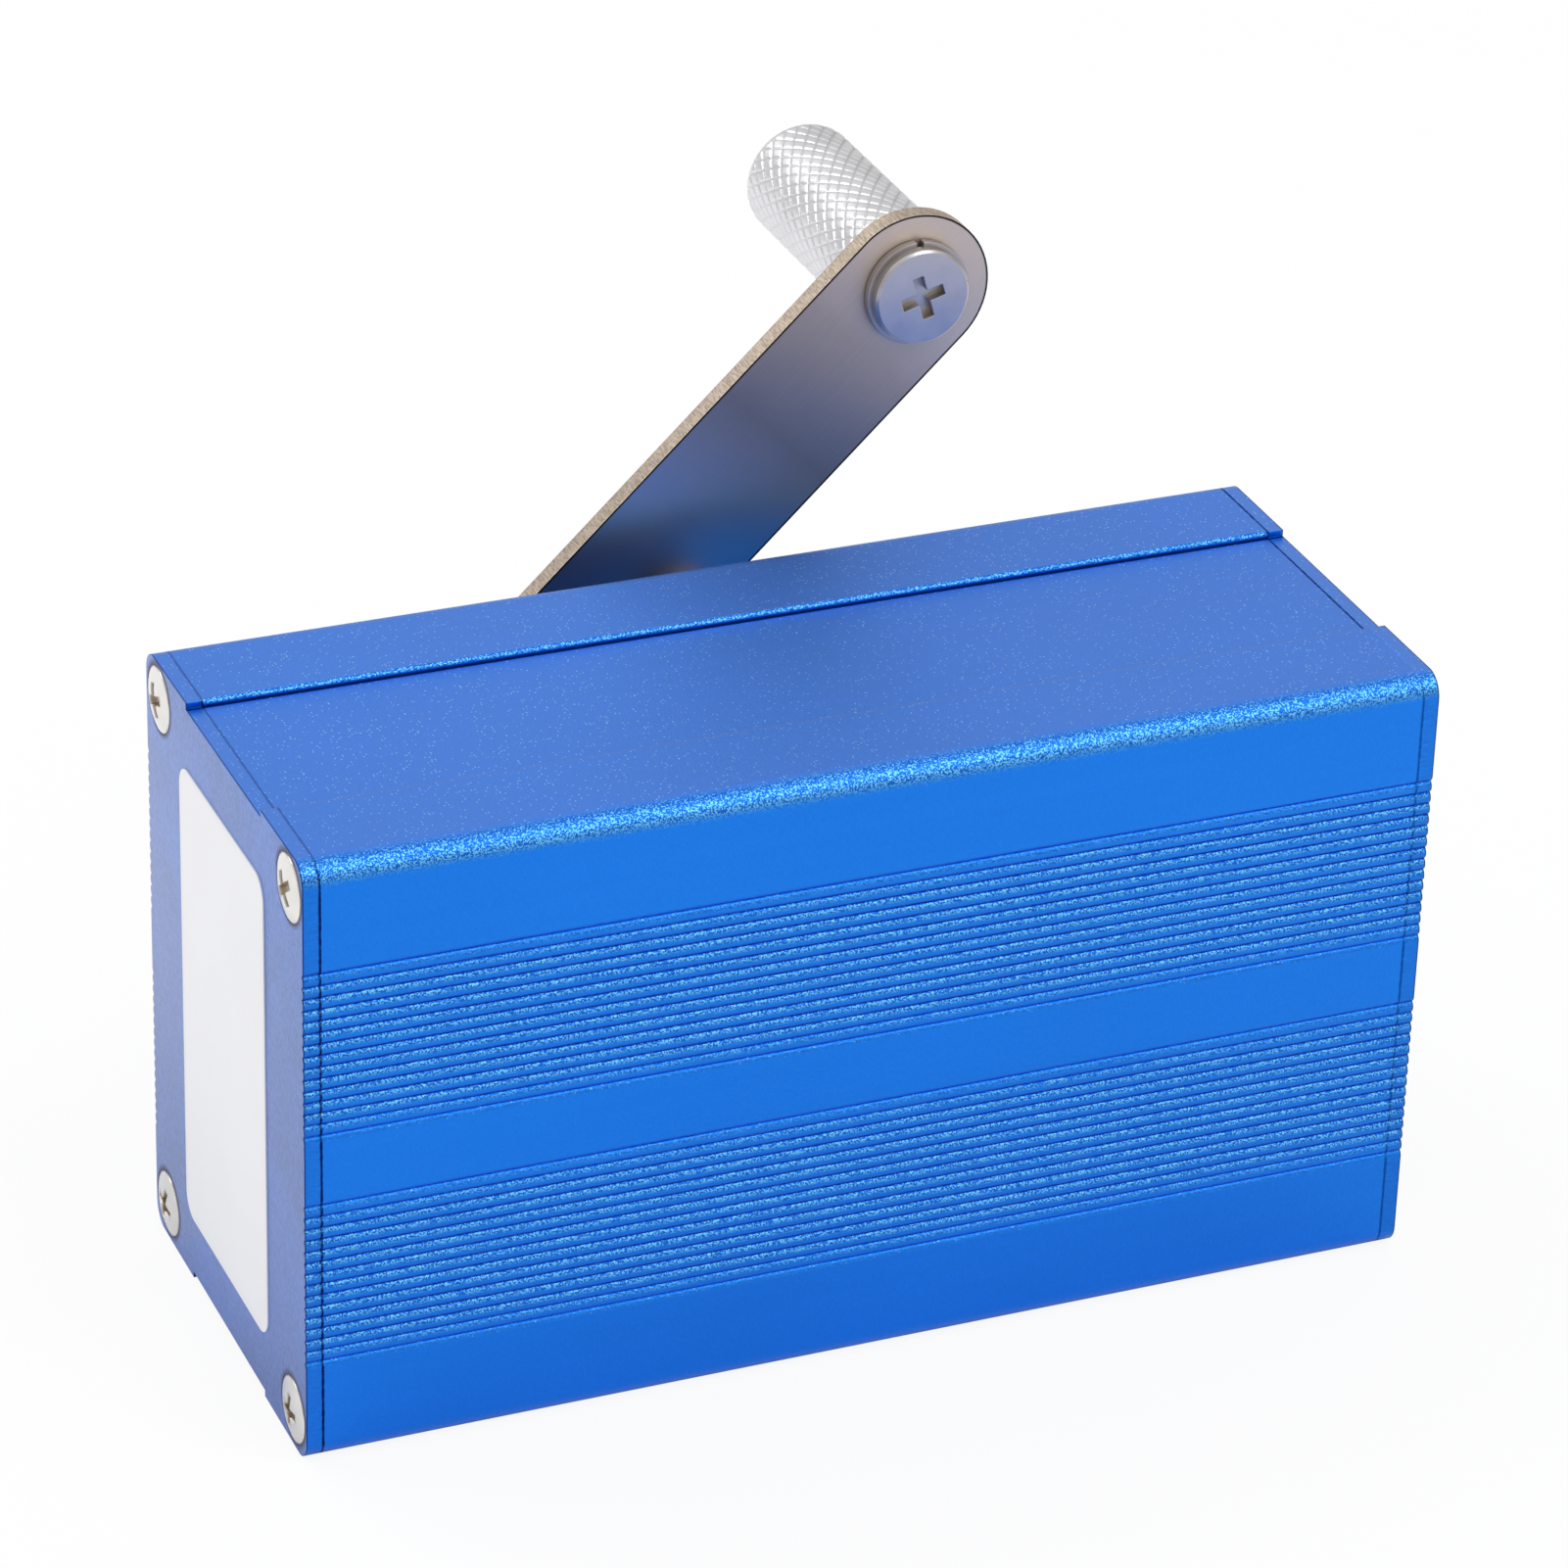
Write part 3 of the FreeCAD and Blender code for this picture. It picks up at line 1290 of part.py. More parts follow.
def rotor():
    """The rotor: shaft, pinion, core, magnets and the two spacers beside the core."""
    centre = ("rotor_x", "rotor_z")
    shaft_end = "can_end + 2 * end_play"
    shaft_top = "level_three + pinion_overlap"
    keep(turned("rotor_shaft", "y", [
        (shaft_top, "0"), (shaft_top, "rotor_shaft"), (shaft_end, "rotor_shaft"),
        (shaft_end, "0"),
    ], centre[0], "0", centre[1]))
    keep(gear("rotor_pinion", "pinion_teeth", "second_module", "profile_shift",
              meshing_turn("rotor_angle", "pinion_teeth"), "rotor_shaft + seat_clearance",
              centre, shaft_top, "level_three_end - pinion_overlap"))
    bore = "rotor_shaft + seat_clearance"
    keep(turned("rotor_core", "y", [
        ("rotor_top", bore), ("rotor_top", "rotor_core"), ("rotor_end", "rotor_core"),
        ("rotor_end", bore),
    ], centre[0], "0", centre[1]))
    spacers = []
    for name, top, end in (("upper", "cap_face - end_play", "rotor_top"),
                           ("lower", "rotor_end", "lower_bearing + end_play")):
        spacers.append(turned(f"{name}_spacer", "y", [
            (top, bore), (top, "spacer_radius"), (end, "spacer_radius"), (end, bore),
        ], centre[0], "0", centre[1]))
    group = doc.addObject("Part::Compound", "rotor_spacers")
    group.Label = "rotor_spacers"
    group.Links = spacers
    keep(group)

    magnet = new_body("magnet")
    place(magnet)
    sector = new_sketch(magnet, "XZ_Plane", "-rotor_length / 2")
    half = "(180 / magnet_count - magnet_gap_angle / 2)"
    inner = "(rotor_core + seat_clearance)"
    outline(sector, [
        (f"{inner} * cos{half}", f"-{inner} * sin{half}", f"-{inner}"),
        (f"magnet_radius * cos{half}", f"-magnet_radius * sin{half}"),
        (f"magnet_radius * cos{half}", f"magnet_radius * sin{half}", "magnet_radius"),
        (f"{inner} * cos{half}", f"{inner} * sin{half}"),
    ])
    pad(magnet, sector, "rotor_length")
    around(magnet, "rotor_magnets", "magnet_count", "(rotor_top + rotor_end) / 2")


def phase_leads():
    """The three insulated leads from the generator to the board, and their grommet."""
    across = value("lead_radius")
    run_y = value("lead_y")
    board_side = value("board_back + terminal_height / 2")
    start_x = value("rotor_x + can_inside - lead_inside")
    end_x = value("terminal_x - terminal_length / 2")
    route = [(start_x, run_y), (end_x - value("lead_climb_start"), run_y),
             (end_x - value("lead_climb_end"), board_side), (end_x, board_side)]
    tubes = []
    for step in (-1, 0, 1):
        level = value("rotor_z") + step * value("lead_pitch")
        points = [Vector(x, y, level) for x, y in route]
        tubes.append(bent_tube(points, across))
    leads = doc.addObject("Part::Feature", "phase_leads")
    leads.Label = "phase_leads"
    leads.Shape = Part.makeCompound(tubes)
    place(leads, y="whole_shift")
    keep(leads)

    grommet = new_body("lead_grommet", "rotor_x", "0", "rotor_z")
    block = new_sketch(grommet, "YZ_Plane", "can_inside - grommet_inside")
    reach = "(lead_radius + grommet_wall)"
    rectangle(block, f"lead_y - {reach}", f"-lead_pitch - {reach}",
              f"lead_y + {reach}", f"lead_pitch + {reach}")
    for step in (-1, 0, 1):
        circle(block, "lead_y", f"{step} * lead_pitch" if step else "0",
               "lead_radius + seat_clearance")
    pad(grommet, block, "grommet_inside + can_wall + grommet_flange")
    keep(grommet)


def bent_tube(points, radius):
    """Return a round lead along straight runs joined by tangent arcs."""
    lengths = [a.distanceToPoint(b) for a, b in zip(points, points[1:])]
    edges = []
    start = points[0]
    for index in range(1, len(points) - 1):
        before = (points[index] - points[index - 1]).normalize()
        after = (points[index + 1] - points[index]).normalize()
        turn = before.getAngle(after)
        trim = 0.45 * min(lengths[index - 1], lengths[index])
        bend = trim / math.tan(turn / 2)
        enter = points[index] - before * trim
        leave = points[index] + after * trim
        inward = (after - before).normalize()
        centre = points[index] + inward * (bend / math.cos(turn / 2))
        middle = centre - inward * bend
        edges.append(Part.LineSegment(start, enter).toShape())
        edges.append(Part.Arc(enter, middle, leave).toShape())
        print(f"lead bend radius {bend:.2f}")
        start = leave
    edges.append(Part.LineSegment(start, points[-1]).toShape())
    path = Part.Wire(edges)
    ring = Part.Wire(Part.Circle(points[0], points[1] - points[0], radius).toShape())
    tube = path.makePipeShell([ring], True, True)
    expected = math.pi * radius ** 2 * path.Length
    if abs(tube.Volume / expected - 1) > 0.01:
        raise ValueError("a lead's volume is wrong")
    return tube


# ------------------------------------------------------------------- circuit board
def circuit_board():
    """The board, which slides in the front shell's slots."""
    body = new_body("circuit_board")
    sketch = new_sketch(body, "XZ_Plane", "-board_back")
    rectangle(sketch, "board_left", "board_bottom", "board_right", "board_top")
    pad(body, sketch, "board_thickness")
    keep(body)


def on_board(label, x, z, size_x, size_y, size_z):
    """Make a plain box that stands on the board's rear side about a point."""
    return box(label, (f"{x} - {size_x} / 2", "board_back", f"{z} - {size_z} / 2"),
               (size_x, size_y, size_z))


def lift(item, y="board_back + whole_shift"):
    """Move a board part with the whole object and keep it."""
    item.setExpression("Placement.Base.y", expand(y))
    return keep(item)


def board_parts():
    """What stands on the board: terminal, regulator, rectifier and capacitors."""
    lift(on_board("phase_terminal", "terminal_x", "rotor_z", "terminal_length",
                  "terminal_height", "terminal_width"))
    lift(on_board("regulator_chip", "chip_x", "chip_z", "chip_length",
                  "chip_height", "chip_width"))
    diode = on_board("diode", "0", "0", "diode_length", "diode_height", "diode_width")
    columns, rows = round(value("diode_columns")), round(value("diode_rows"))
    copies("rectifier_diodes", diode, [
        (f"diode_x + {column} * diode_pitch_x - diode_length / 2", "board_back",
         f"diode_z + {row} * diode_pitch_z - diode_width / 2", None)
        for column in range(columns) for row in range(rows)])
    waist = "capacitor_radius - capacitor_edge"
    capacitor = turned("capacitor", "y", [
        ("0", "0"), ("0", waist), ("capacitor_edge", "capacitor_radius"),
        ("capacitor_groove", "capacitor_radius"),
        ("capacitor_groove + capacitor_edge", waist),
        ("capacitor_groove + 2 * capacitor_edge", "capacitor_radius"),
        ("capacitor_length - capacitor_edge", "capacitor_radius"),
        ("capacitor_length", waist, "-capacitor_edge"), ("capacitor_length", "0"),
    ])
    place(capacitor)
    copies("output_capacitors", capacitor, [
        ("capacitor_x", "board_back", f"middle_z {way} capacitor_pitch / 2", None)
        for way in ("+", "-")])


def power_inductor():
    """The shielded inductor, a block with rounded corners and a ring round its core."""
    body = new_body("power_inductor", "coil_box_x", "board_back", "coil_box_z")
    sketch = new_sketch(body, "XZ_Plane")
    half = "coil_box_side / 2"
    rectangle(sketch, f"-{half}", f"-{half}", half, half)
    block = pad(body, sketch, "coil_box_height", reverse=True)

    def corner(edge):
        return any(runs_along(edge, "y", x=a * value(half), z=b * value(half))
                   for a in (-1, 1) for b in (-1, 1))

    round_edges(body, block, corner, "coil_box_round")
    ring = new_sketch(body, "XZ_Plane", "-coil_box_height")
    circle(ring, "0", "0", "core_ring_outer")
    circle(ring, "0", "0", "core_ring_inner")
    body.Tip = pocket(body, ring, "core_ring_depth", reverse=True)
    keep(body)


def status_led():
    """The lamp that shows in the right end plate."""
    end = "case_length / 2 + led_proud"
    start = f"({end} - led_length)"
    flange_end = f"{start} + led_flange_thickness"
    keep(turned("status_led", "x", [
        (start, "0"), (start, "led_flange"), (flange_end, "led_flange"),
        (flange_end, "led_radius"), (f"{end} - led_radius", "led_radius"),
        (end, "0", "-led_radius"),
    ], "0", "led_y", "led_z"))


def usb_socket():
    """The metal shell of the USB socket, open towards the right end plate."""
    body = new_body("usb_socket")
    outside = new_sketch(body, "YZ_Plane", "usb_start")
    rectangle(outside, "board_back", "middle_z - usb_width / 2",
              "board_back + usb_height", "middle_z + usb_width / 2")
    pad(body, outside, "usb_depth")
    inside = new_sketch(body, "YZ_Plane", "usb_mouth")
    rectangle(inside, "board_back + usb_wall", "middle_z - usb_width / 2 + usb_wall",
              "board_back + usb_height - usb_wall", "middle_z + usb_width / 2 - usb_wall")
    pocket(body, inside, "usb_depth - usb_wall")
    keep(body)


def usb_inside():
    """The socket's insulator with its tongue, and the four contacts on the tongue."""
    body = new_body("usb_insulator")
    back = "usb_start + usb_wall"
    gap = "(usb_wall + seat_clearance)"
    block = new_sketch(body, "YZ_Plane", back)
    rectangle(block, f"board_back + {gap}", f"middle_z - usb_width / 2 + {gap}",
              f"board_back + usb_height - {gap}", f"middle_z + usb_width / 2 - {gap}")
    pad(body, block, "usb_back")
    tongue = new_sketch(body, "YZ_Plane", back)
    low = "board_back + usb_wall + usb_tongue_offset"
    rectangle(tongue, low, "middle_z - usb_tongue_width / 2",
              f"{low} + usb_tongue_thickness", "middle_z + usb_tongue_width / 2")
    pad(body, tongue, "usb_back + usb_tongue_length")
    keep(body)
    contact = box("contact", ("0", "0", "0"),
                  ("usb_tongue_length - usb_contact_inset", "usb_contact_thickness",
                   "usb_contact_width"))
    copies("usb_contacts", contact, [
        (f"{back} + usb_back", f"{low} + usb_tongue_thickness",
         f"middle_z + {step} * usb_contact_pitch - usb_contact_width / 2", None)
        for step in (-1.5, -0.5, 0.5, 1.5)])


for build in (front_shell, rear_shell, left_end_plate, right_end_plate, left_label,
              end_plate_screws, gearbox_mounting_screws, gearbox_front_screws,
              crank_arm, crank_shaft, drive_gear_pin, crank_arm_fixings, crank_grip,
              grip_fixings, drive_gear, idlers, gearbox_frame, bushes, generator_shell,
              generator_screws, stator, rotor, phase_leads, circuit_board, board_parts,
              power_inductor, status_led, usb_socket, usb_inside):
    build()
doc.recompute()

for item in doc.Objects:
    if "Invalid" in item.State or "Error" in item.State:
        raise RuntimeError(f"{item.Label} failed: {item.State}")
os.makedirs("parts", exist_ok=True)
for part in PARTS:
    shape = part.Shape
    if shape.isNull() or not shape.isValid():
        raise RuntimeError(f"{part.Label} has no valid shape")
    print(f"{part.Label}: {len(shape.Solids)} solids, {shape.Volume:.1f} mm3")
    shape.exportStep(f"parts/{part.Label}.step")
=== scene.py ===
"""Dress the hand crank generator: finishes, knurled grip, studio light and camera.

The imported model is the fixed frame. X runs along the case, Y from the plain front to
the crank side and Z up. Lengths are in metres unless a name says otherwise.
"""

from __future__ import annotations

import json
import logging
import math
from dataclasses import dataclass
from enum import Enum
from typing import Any, Callable, Mapping, Sequence, Union

import bpy
from mathutils import Matrix, Vector

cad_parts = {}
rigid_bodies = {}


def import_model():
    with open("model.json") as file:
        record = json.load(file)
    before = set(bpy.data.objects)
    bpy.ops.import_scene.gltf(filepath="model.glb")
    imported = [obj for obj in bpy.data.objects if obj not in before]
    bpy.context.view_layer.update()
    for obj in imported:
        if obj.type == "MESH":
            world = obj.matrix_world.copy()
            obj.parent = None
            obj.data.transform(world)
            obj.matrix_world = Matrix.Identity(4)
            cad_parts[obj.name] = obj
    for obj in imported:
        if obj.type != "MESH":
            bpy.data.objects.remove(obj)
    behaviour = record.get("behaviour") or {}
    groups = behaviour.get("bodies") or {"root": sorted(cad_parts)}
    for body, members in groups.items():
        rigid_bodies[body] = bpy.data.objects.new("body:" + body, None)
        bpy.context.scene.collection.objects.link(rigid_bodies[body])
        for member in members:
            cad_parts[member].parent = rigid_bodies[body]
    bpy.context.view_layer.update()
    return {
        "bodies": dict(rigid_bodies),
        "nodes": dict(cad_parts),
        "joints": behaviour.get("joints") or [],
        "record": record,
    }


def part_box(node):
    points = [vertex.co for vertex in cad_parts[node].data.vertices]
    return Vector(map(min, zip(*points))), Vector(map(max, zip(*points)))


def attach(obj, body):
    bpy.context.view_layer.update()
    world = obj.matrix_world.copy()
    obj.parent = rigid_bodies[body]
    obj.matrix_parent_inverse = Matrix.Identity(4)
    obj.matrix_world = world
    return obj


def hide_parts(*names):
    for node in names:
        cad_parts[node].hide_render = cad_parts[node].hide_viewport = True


LOG = logging.getLogger("hand_crank_generator")
MM = 0.001
BLACK = (0.0, 0.0, 0.0)
WHITE = (1.0, 1.0, 1.0)
SHARP_ANGLE = math.radians(32)
# A noise's finer layers, and how strong each is against the one before.
SMOOTH, FINE, FINEST = 2.0, 3.0, 4.0
EVEN, CRISP, HARSH = 0.5, 0.6, 0.7

Colour = tuple[float, float, float]
Ramp = tuple[float, float]  # where a ramp starts and how wide it is
Frame = Mapping[str, Any]
Value = Union["Signal", float, Sequence[float]]


# -------- shader expressions
class Signal:
    """A value that varies over a surface; arithmetic on it adds Math nodes."""

    def __init__(self, graph: Graph, socket: bpy.types.NodeSocket) -> None:
        """Keep the graph that the socket belongs to."""
        self.graph = graph
        self.socket = socket

    def math(self, operation: str, *values: Value, clamp: bool = False) -> Signal:
        """Add one Math node.

        Args:
            operation: Blender's name of the operation.
            *values: Up to three operands in order.
            clamp: Whether the result is kept between 0 and 1.

        Returns:
            The node's output.
        """
        settings = {"operation": operation, "use_clamp": clamp}
        return self.graph.node("ShaderNodeMath", settings, dict(enumerate(values)))

    def __add__(self, other: Value) -> Signal:
        """Add."""
        return self.math("ADD", self, other)

    def __sub__(self, other: Value) -> Signal:
        """Subtract."""
        return self.math("SUBTRACT", self, other)

    def __rsub__(self, other: Value) -> Signal:
        """Subtract this from a plain number."""
        return self.math("SUBTRACT", other, self)

    def __mul__(self, other: Value) -> Signal:
        """Multiply."""
        return self.math("MULTIPLY", self, other)

    def __truediv__(self, other: Value) -> Signal:
        """Divide."""
        return self.math("DIVIDE", self, other)

    def __abs__(self) -> Signal:
        """Take the size without its sign."""
        return self.math("ABSOLUTE", self)

    def clamped(self) -> Signal:
        """Keep between 0 and 1."""
        return self.math("ADD", self, 0.0, clamp=True)

    def above(self, edge: Value, width: float) -> Signal:
        """Ramp from 0 to 1 over a width that starts at an edge."""
        return ((self - edge) / width).clamped()

    def below(self, edge: Value, width: float) -> Signal:
        """Ramp from 1 to 0 over a width that starts at an edge."""
        return 1.0 - self.above(edge, width)

    def at_least(self, other: Value) -> Signal:
        """Take the larger of two values."""
        return self.math("MAXIMUM", self, other)

    def at_most(self, other: Value) -> Signal:
        """Take the smaller of two values."""
        return self.math("MINIMUM", self, other)

    def under(self, other: Value) -> Signal:
        """Give 1 where this is the smaller and 0 elsewhere."""
        return self.math("LESS_THAN", self, other)

    def sine(self) -> Signal:
        """Take the sine of radians."""
        return self.math("SINE", self)

    def root(self) -> Signal:
        """Take the square root."""
        return self.math("SQRT", self)


class Graph:
    """The node tree of a material or of the world."""

    # Where the Mix node keeps its two colours and their mix.
    MIX_LOW, MIX_HIGH, MIX_RESULT = 6, 7, 2
    CORNER_SAMPLES = 8
    BEVEL_SAMPLES = 6
    # How open a place is, from 0 to 1, in a deep corner and on a free surface.
    DEEP, OPEN = 0.5, 0.85

    def __init__(self, owner: bpy.types.Material | bpy.types.World) -> None:
        """Start an empty tree on its owner."""
        owner.use_nodes = True
        self.tree = owner.node_tree
        self.tree.nodes.clear()

    def node(self, kind: str, settings: Mapping[str, Any] | None = None,
             inputs: Mapping[str | int, Value] | None = None,
             output: str | int = 0) -> Signal | None:
        """Add a node.

        Args:
            kind: The node's Blender type.
            settings: Its own choices, set first.
            inputs: What its sockets hold, by name or place: a number, a colour or a link.
            output: The output that is wanted.

        Returns:
            That output, or nothing from a node that has none.
        """
        made = self.tree.nodes.new(kind)
        for name, choice in (settings or {}).items():
            setattr(made, name, choice)
        for name, item in (inputs or {}).items():
            socket = made.inputs[name]
            if isinstance(item, Signal):
                self.tree.links.new(item.socket, socket)
            elif socket.type == "RGBA":
                socket.default_value = (*item, 1.0)
            else:
                socket.default_value = item
        return Signal(self, made.outputs[output]) if made.outputs else None

    def mix(self, share: Value, low: Value, high: Value) -> Signal:
        """Mix two colours by a share from 0 to 1."""
        return self.node("ShaderNodeMix", {"data_type": "RGBA"},
                         {0: share, self.MIX_LOW: low, self.MIX_HIGH: high},
                         self.MIX_RESULT)

    @staticmethod
    def mix_numbers(share: Signal, low: Value, high: Value) -> Signal:
        """Mix two numbers by a share from 0 to 1."""
        return share * high + (1.0 - share) * low

    def place(self, output: str = "Object") -> Signal:
        """Give the point in the object's own frame, or its normal there."""
        return self.node("ShaderNodeTexCoord", output=output)

    def axes(self, vector: Signal) -> list[Signal]:
        """Split a vector into its three numbers."""
        first = self.node("ShaderNodeSeparateXYZ", inputs={0: vector})
        return [Signal(self, socket) for socket in first.socket.node.outputs]

    def joined(self, x: Value, y: Value, z: Value) -> Signal:
        """Join three numbers into a vector."""
        return self.node("ShaderNodeCombineXYZ", inputs={0: x, 1: y, 2: z})

    def noise(self, where: Signal, grain: float, detail: float = SMOOTH,
              rough: float = EVEN) -> Signal:
        """Give noise between 0 and 1.

        Args:
            where: The point on the surface.
            grain: About how wide its features are.
            detail: How many finer layers it has.
            rough: How strong each finer layer is against the one before.

        Returns:
            The noise.
        """
        return self.node("ShaderNodeTexNoise", inputs={
            "Vector": where, "Scale": 1.0 / grain, "Detail": detail, "Roughness": rough})

    def speckle(self, where: Signal, spacing: float, share: float, size: float) -> Signal:
        """Give a mask of dots scattered at random.

        Args:
            where: The point on the surface.
            spacing: The distance between neighbouring cells.
            share: The share of cells that hold a dot.
            size: A dot's radius as a share of the spacing.

        Returns:
            1 in a dot and 0 elsewhere.
        """
        inputs = {"Vector": where, "Scale": 1.0 / spacing}
        near = self.node("ShaderNodeTexVoronoi", inputs=inputs, output="Distance")
        colour = self.node("ShaderNodeTexVoronoi", inputs=inputs, output="Color")
        return near.below(size / 2, size / 2) * self.axes(colour)[0].under(share)

    def crevice(self, reach: float) -> Signal:
        """Give 1 in a corner within a reach of its walls and 0 on an open surface."""
        openness = self.node("ShaderNodeAmbientOcclusion", {"samples": self.CORNER_SAMPLES},
                             {"Distance": reach}, "AO")
        return openness.below(self.DEEP, self.OPEN - self.DEEP)

    def bump(self, height: Signal, depth: float, edge_round: float = 0.0) -> Signal:
        """Turn a height between 0 and 1 into a normal.

        Args:
            height: The height.
            depth: The real depth that a height of 1 stands for.
            edge_round: The radius that sharp edges seem to have, or 0 to leave them.

        Returns:
            The normal.
        """
        inputs: dict[str, Value] = {"Strength": 1.0, "Distance": depth, "Height": height}
        if edge_round > 0.0:
            inputs["Normal"] = self.node("ShaderNodeBevel", {"samples": self.BEVEL_SAMPLES},
                                         {"Radius": edge_round})
        return self.node("ShaderNodeBump", {}, inputs)


def scaled(colour: Colour, share: float) -> Colour:
    """Make a colour darker or lighter, at most to full strength."""
    return tuple(min(1.0, part * share) for part in colour)


# -------- finishes
@dataclass(frozen=True)
class Finish:
    """A finish: its slot in the record, colour and gloss; on its own, moulded plastic."""

    slot: str
    colour: Colour
    metallic: float = 0.0
    roughness: float = 0.5
    coat: float = 0.0
    coat_roughness: float = 0.3
    coat_ior: float = 1.5
    grain: float = 0.35 * MM
    depth: float = 4e-6
    edge_round: float = 0.0
    cloud: float = 6 * MM
    shade_spread: float = 0.14
    light_share: float = 0.6
    gloss_spread: float = 0.07

    def surface(self, graph: Graph) -> dict[str, Value]:
        """Give what varies over the surface, by the shader's socket names."""
        where = graph.place()
        cloud = graph.noise(where, self.cloud, FINE)
        grain = graph.noise(where, self.grain)
        return self.sockets(graph, self.shade(graph, cloud), self.gloss(cloud), grain)

    def sockets(self, graph: Graph, colour: Signal, rough: Signal,
                height: Signal) -> dict[str, Value]:
        """Name a colour, a roughness and a height's bumps by the shader's sockets."""
        return {"Base Color": colour, "Roughness": rough,
                "Normal": graph.bump(height, self.depth, self.edge_round)}

    def shade(self, graph: Graph, share: Value) -> Signal:
        """Vary the colour from a darker to a lighter shade by a share from 0 to 1."""
        return graph.mix(share, scaled(self.colour, 1.0 - self.shade_spread),
                         scaled(self.colour, 1.0 + self.shade_spread * self.light_share))

    def gloss(self, share: Signal) -> Signal:
        """Vary the roughness either side of its own value."""
        return share * (2.0 * self.gloss_spread) + (self.roughness - self.gloss_spread)

    def material(self) -> bpy.types.Material:
        """Build the material."""
        made = bpy.data.materials.new(self.slot + "_finish")
        graph = Graph(made)
        constant = {"Metallic": self.metallic, "Coat Weight": self.coat,
                    "Coat Roughness": self.coat_roughness, "Coat IOR": self.coat_ior}
        shader = graph.node("ShaderNodeBsdfPrincipled", {},
                            {**constant, **self.surface(graph)})
        graph.node("ShaderNodeOutputMaterial", {}, {"Surface": shader})
        return made


@dataclass(frozen=True)
class Blasted(Finish):
    """Dyed oxide over a bead-blasted extrusion: grain, painted sparkle and glints, painted
    shade in its grooves, and dark joints.
    """

    metallic: float = 0.92
    roughness: float = 0.3
    coat: float = 0.15
    coat_roughness: float = 0.5
    coat_ior: float = 1.6
    grain: float = 0.34 * MM
    depth: float = 7e-5
    cloud: float = 22 * MM
    shade_spread: float = 0.2
    gloss_spread: float = 0.03
    line_share: float = 0.2
    cloud_share: float = 0.3
    grain_share: float = 0.5
    die_line: float = 1.1 * MM
    stretch: float = 0.015
    # Painted sparkle: specks of painted glint, most on what faces up.
    painted_sparkle: Colour = (0.3, 0.6, 1.0)
    sparkle_spacing: float = 0.36 * MM
    sparkle_share: float = 0.4
    sparkle_size: float = 0.25
    sparkle_up: float = 2.2
    sparkle_least: float = 0.04
    # Painted glints on ribs and round edges, with painted shade in the grain between them.
    curved: Ramp = (0.92, 0.078)
    lit: Ramp = (0.03, 0.1)
    painted_glint: Colour = (0.17, 0.62, 1.0)
    painted_grain_shade: Colour = (0.002, 0.12, 0.6)
    glint_grain: float = 0.17 * MM
    glint_edge: Ramp = (0.42, 0.1)
    glint_rise: float = 0.1
    glint_strength: float = 0.88
    # Painted shade in the grooves between ribs, and where the rib bands end.
    painted_groove_shade: Colour = (0.001, 0.035, 0.33)
    groove_reach: float = 0.42 * MM
    groove_strength: float = 0.8
    band_middle: float = 30.75 * MM
    band_ends: tuple[float, float] = (3.3 * MM, 20.3 * MM)
    band_fade: float = 2.4 * MM
    fade_strength: float = 0.9
    # A worn line along the top.
    scratch: Colour = (0.12, 0.2, 0.45)
    scratch_y: float = -28.6 * MM
    scratch_width: float = 0.5 * MM
    scratch_patch: float = 5 * MM
    scratch_strength: float = 0.6
    # The dark seam and end joints.
    navy: Colour = (0.001, 0.003, 0.11)
    seam_y: float = -7.26 * MM
    seam_edge: Ramp = (0.072 * MM, 0.12 * MM)
    seam_slope: Ramp = (0.3, 0.2)
    seam_strength: float = 0.9
    joint: float = 1.0
    joint_edge: Ramp = (0.15 * MM, 0.105 * MM)
    joint_grain: float = 0.6 * MM
    joint_ragged: float = 0.18 * MM
    joint_left: float = 0.4
    joint_right: float = 0.85
    joint_lost: float = 0.45
    side_width: float = 1 * MM
    dark_rough: float = 0.2
    up_rough: float = 0.16
    up_flat: Ramp = (0.94, 0.05)
    up_coat: float = 0.68

    def surface(self, graph: Graph) -> dict[str, Value]:
        """Lay grain, paint sparkle, glints on what is curved and shade in the grooves,
        darken the joints.
        """
        where = graph.place()
        x, y, z = graph.axes(where)
        slopes = graph.axes(graph.place("Normal"))
        up = slopes[2].clamped()
        lines = graph.noise(graph.joined(x * self.stretch, y, z), self.die_line, FINE)
        cloud = graph.noise(where, self.cloud, FINE)
        grain = graph.noise(where, self.grain, FINE, CRISP)
        colour = self.shade(graph, lines * self.line_share + cloud * self.cloud_share
                            + grain * self.grain_share)
        # Painted sparkle: bright specks of painted glint, strongest on what faces up.
        painted_sparkle = graph.speckle(where, self.sparkle_spacing, self.sparkle_share, self.sparkle_size)
        painted_sparkle = painted_sparkle * (up * cloud * self.sparkle_up + self.sparkle_least)
        colour = graph.mix(painted_sparkle, colour, self.painted_sparkle)
        firm = self.firmness(z)
        # Painted glints and painted shade on ribs and round edges that face up.
        colour = graph.mix(self.bend(slopes) * firm * self.glint_strength, colour,
                           self.painted_glints_and_shade(graph, where, up))
        patches = graph.noise(graph.joined(x, 0.0, 0.0), self.scratch_patch, FINE)
        near = abs(y - self.scratch_y).below(0.0, self.scratch_width)
        colour = graph.mix(near * up * patches * self.scratch_strength, colour,
                           self.scratch)
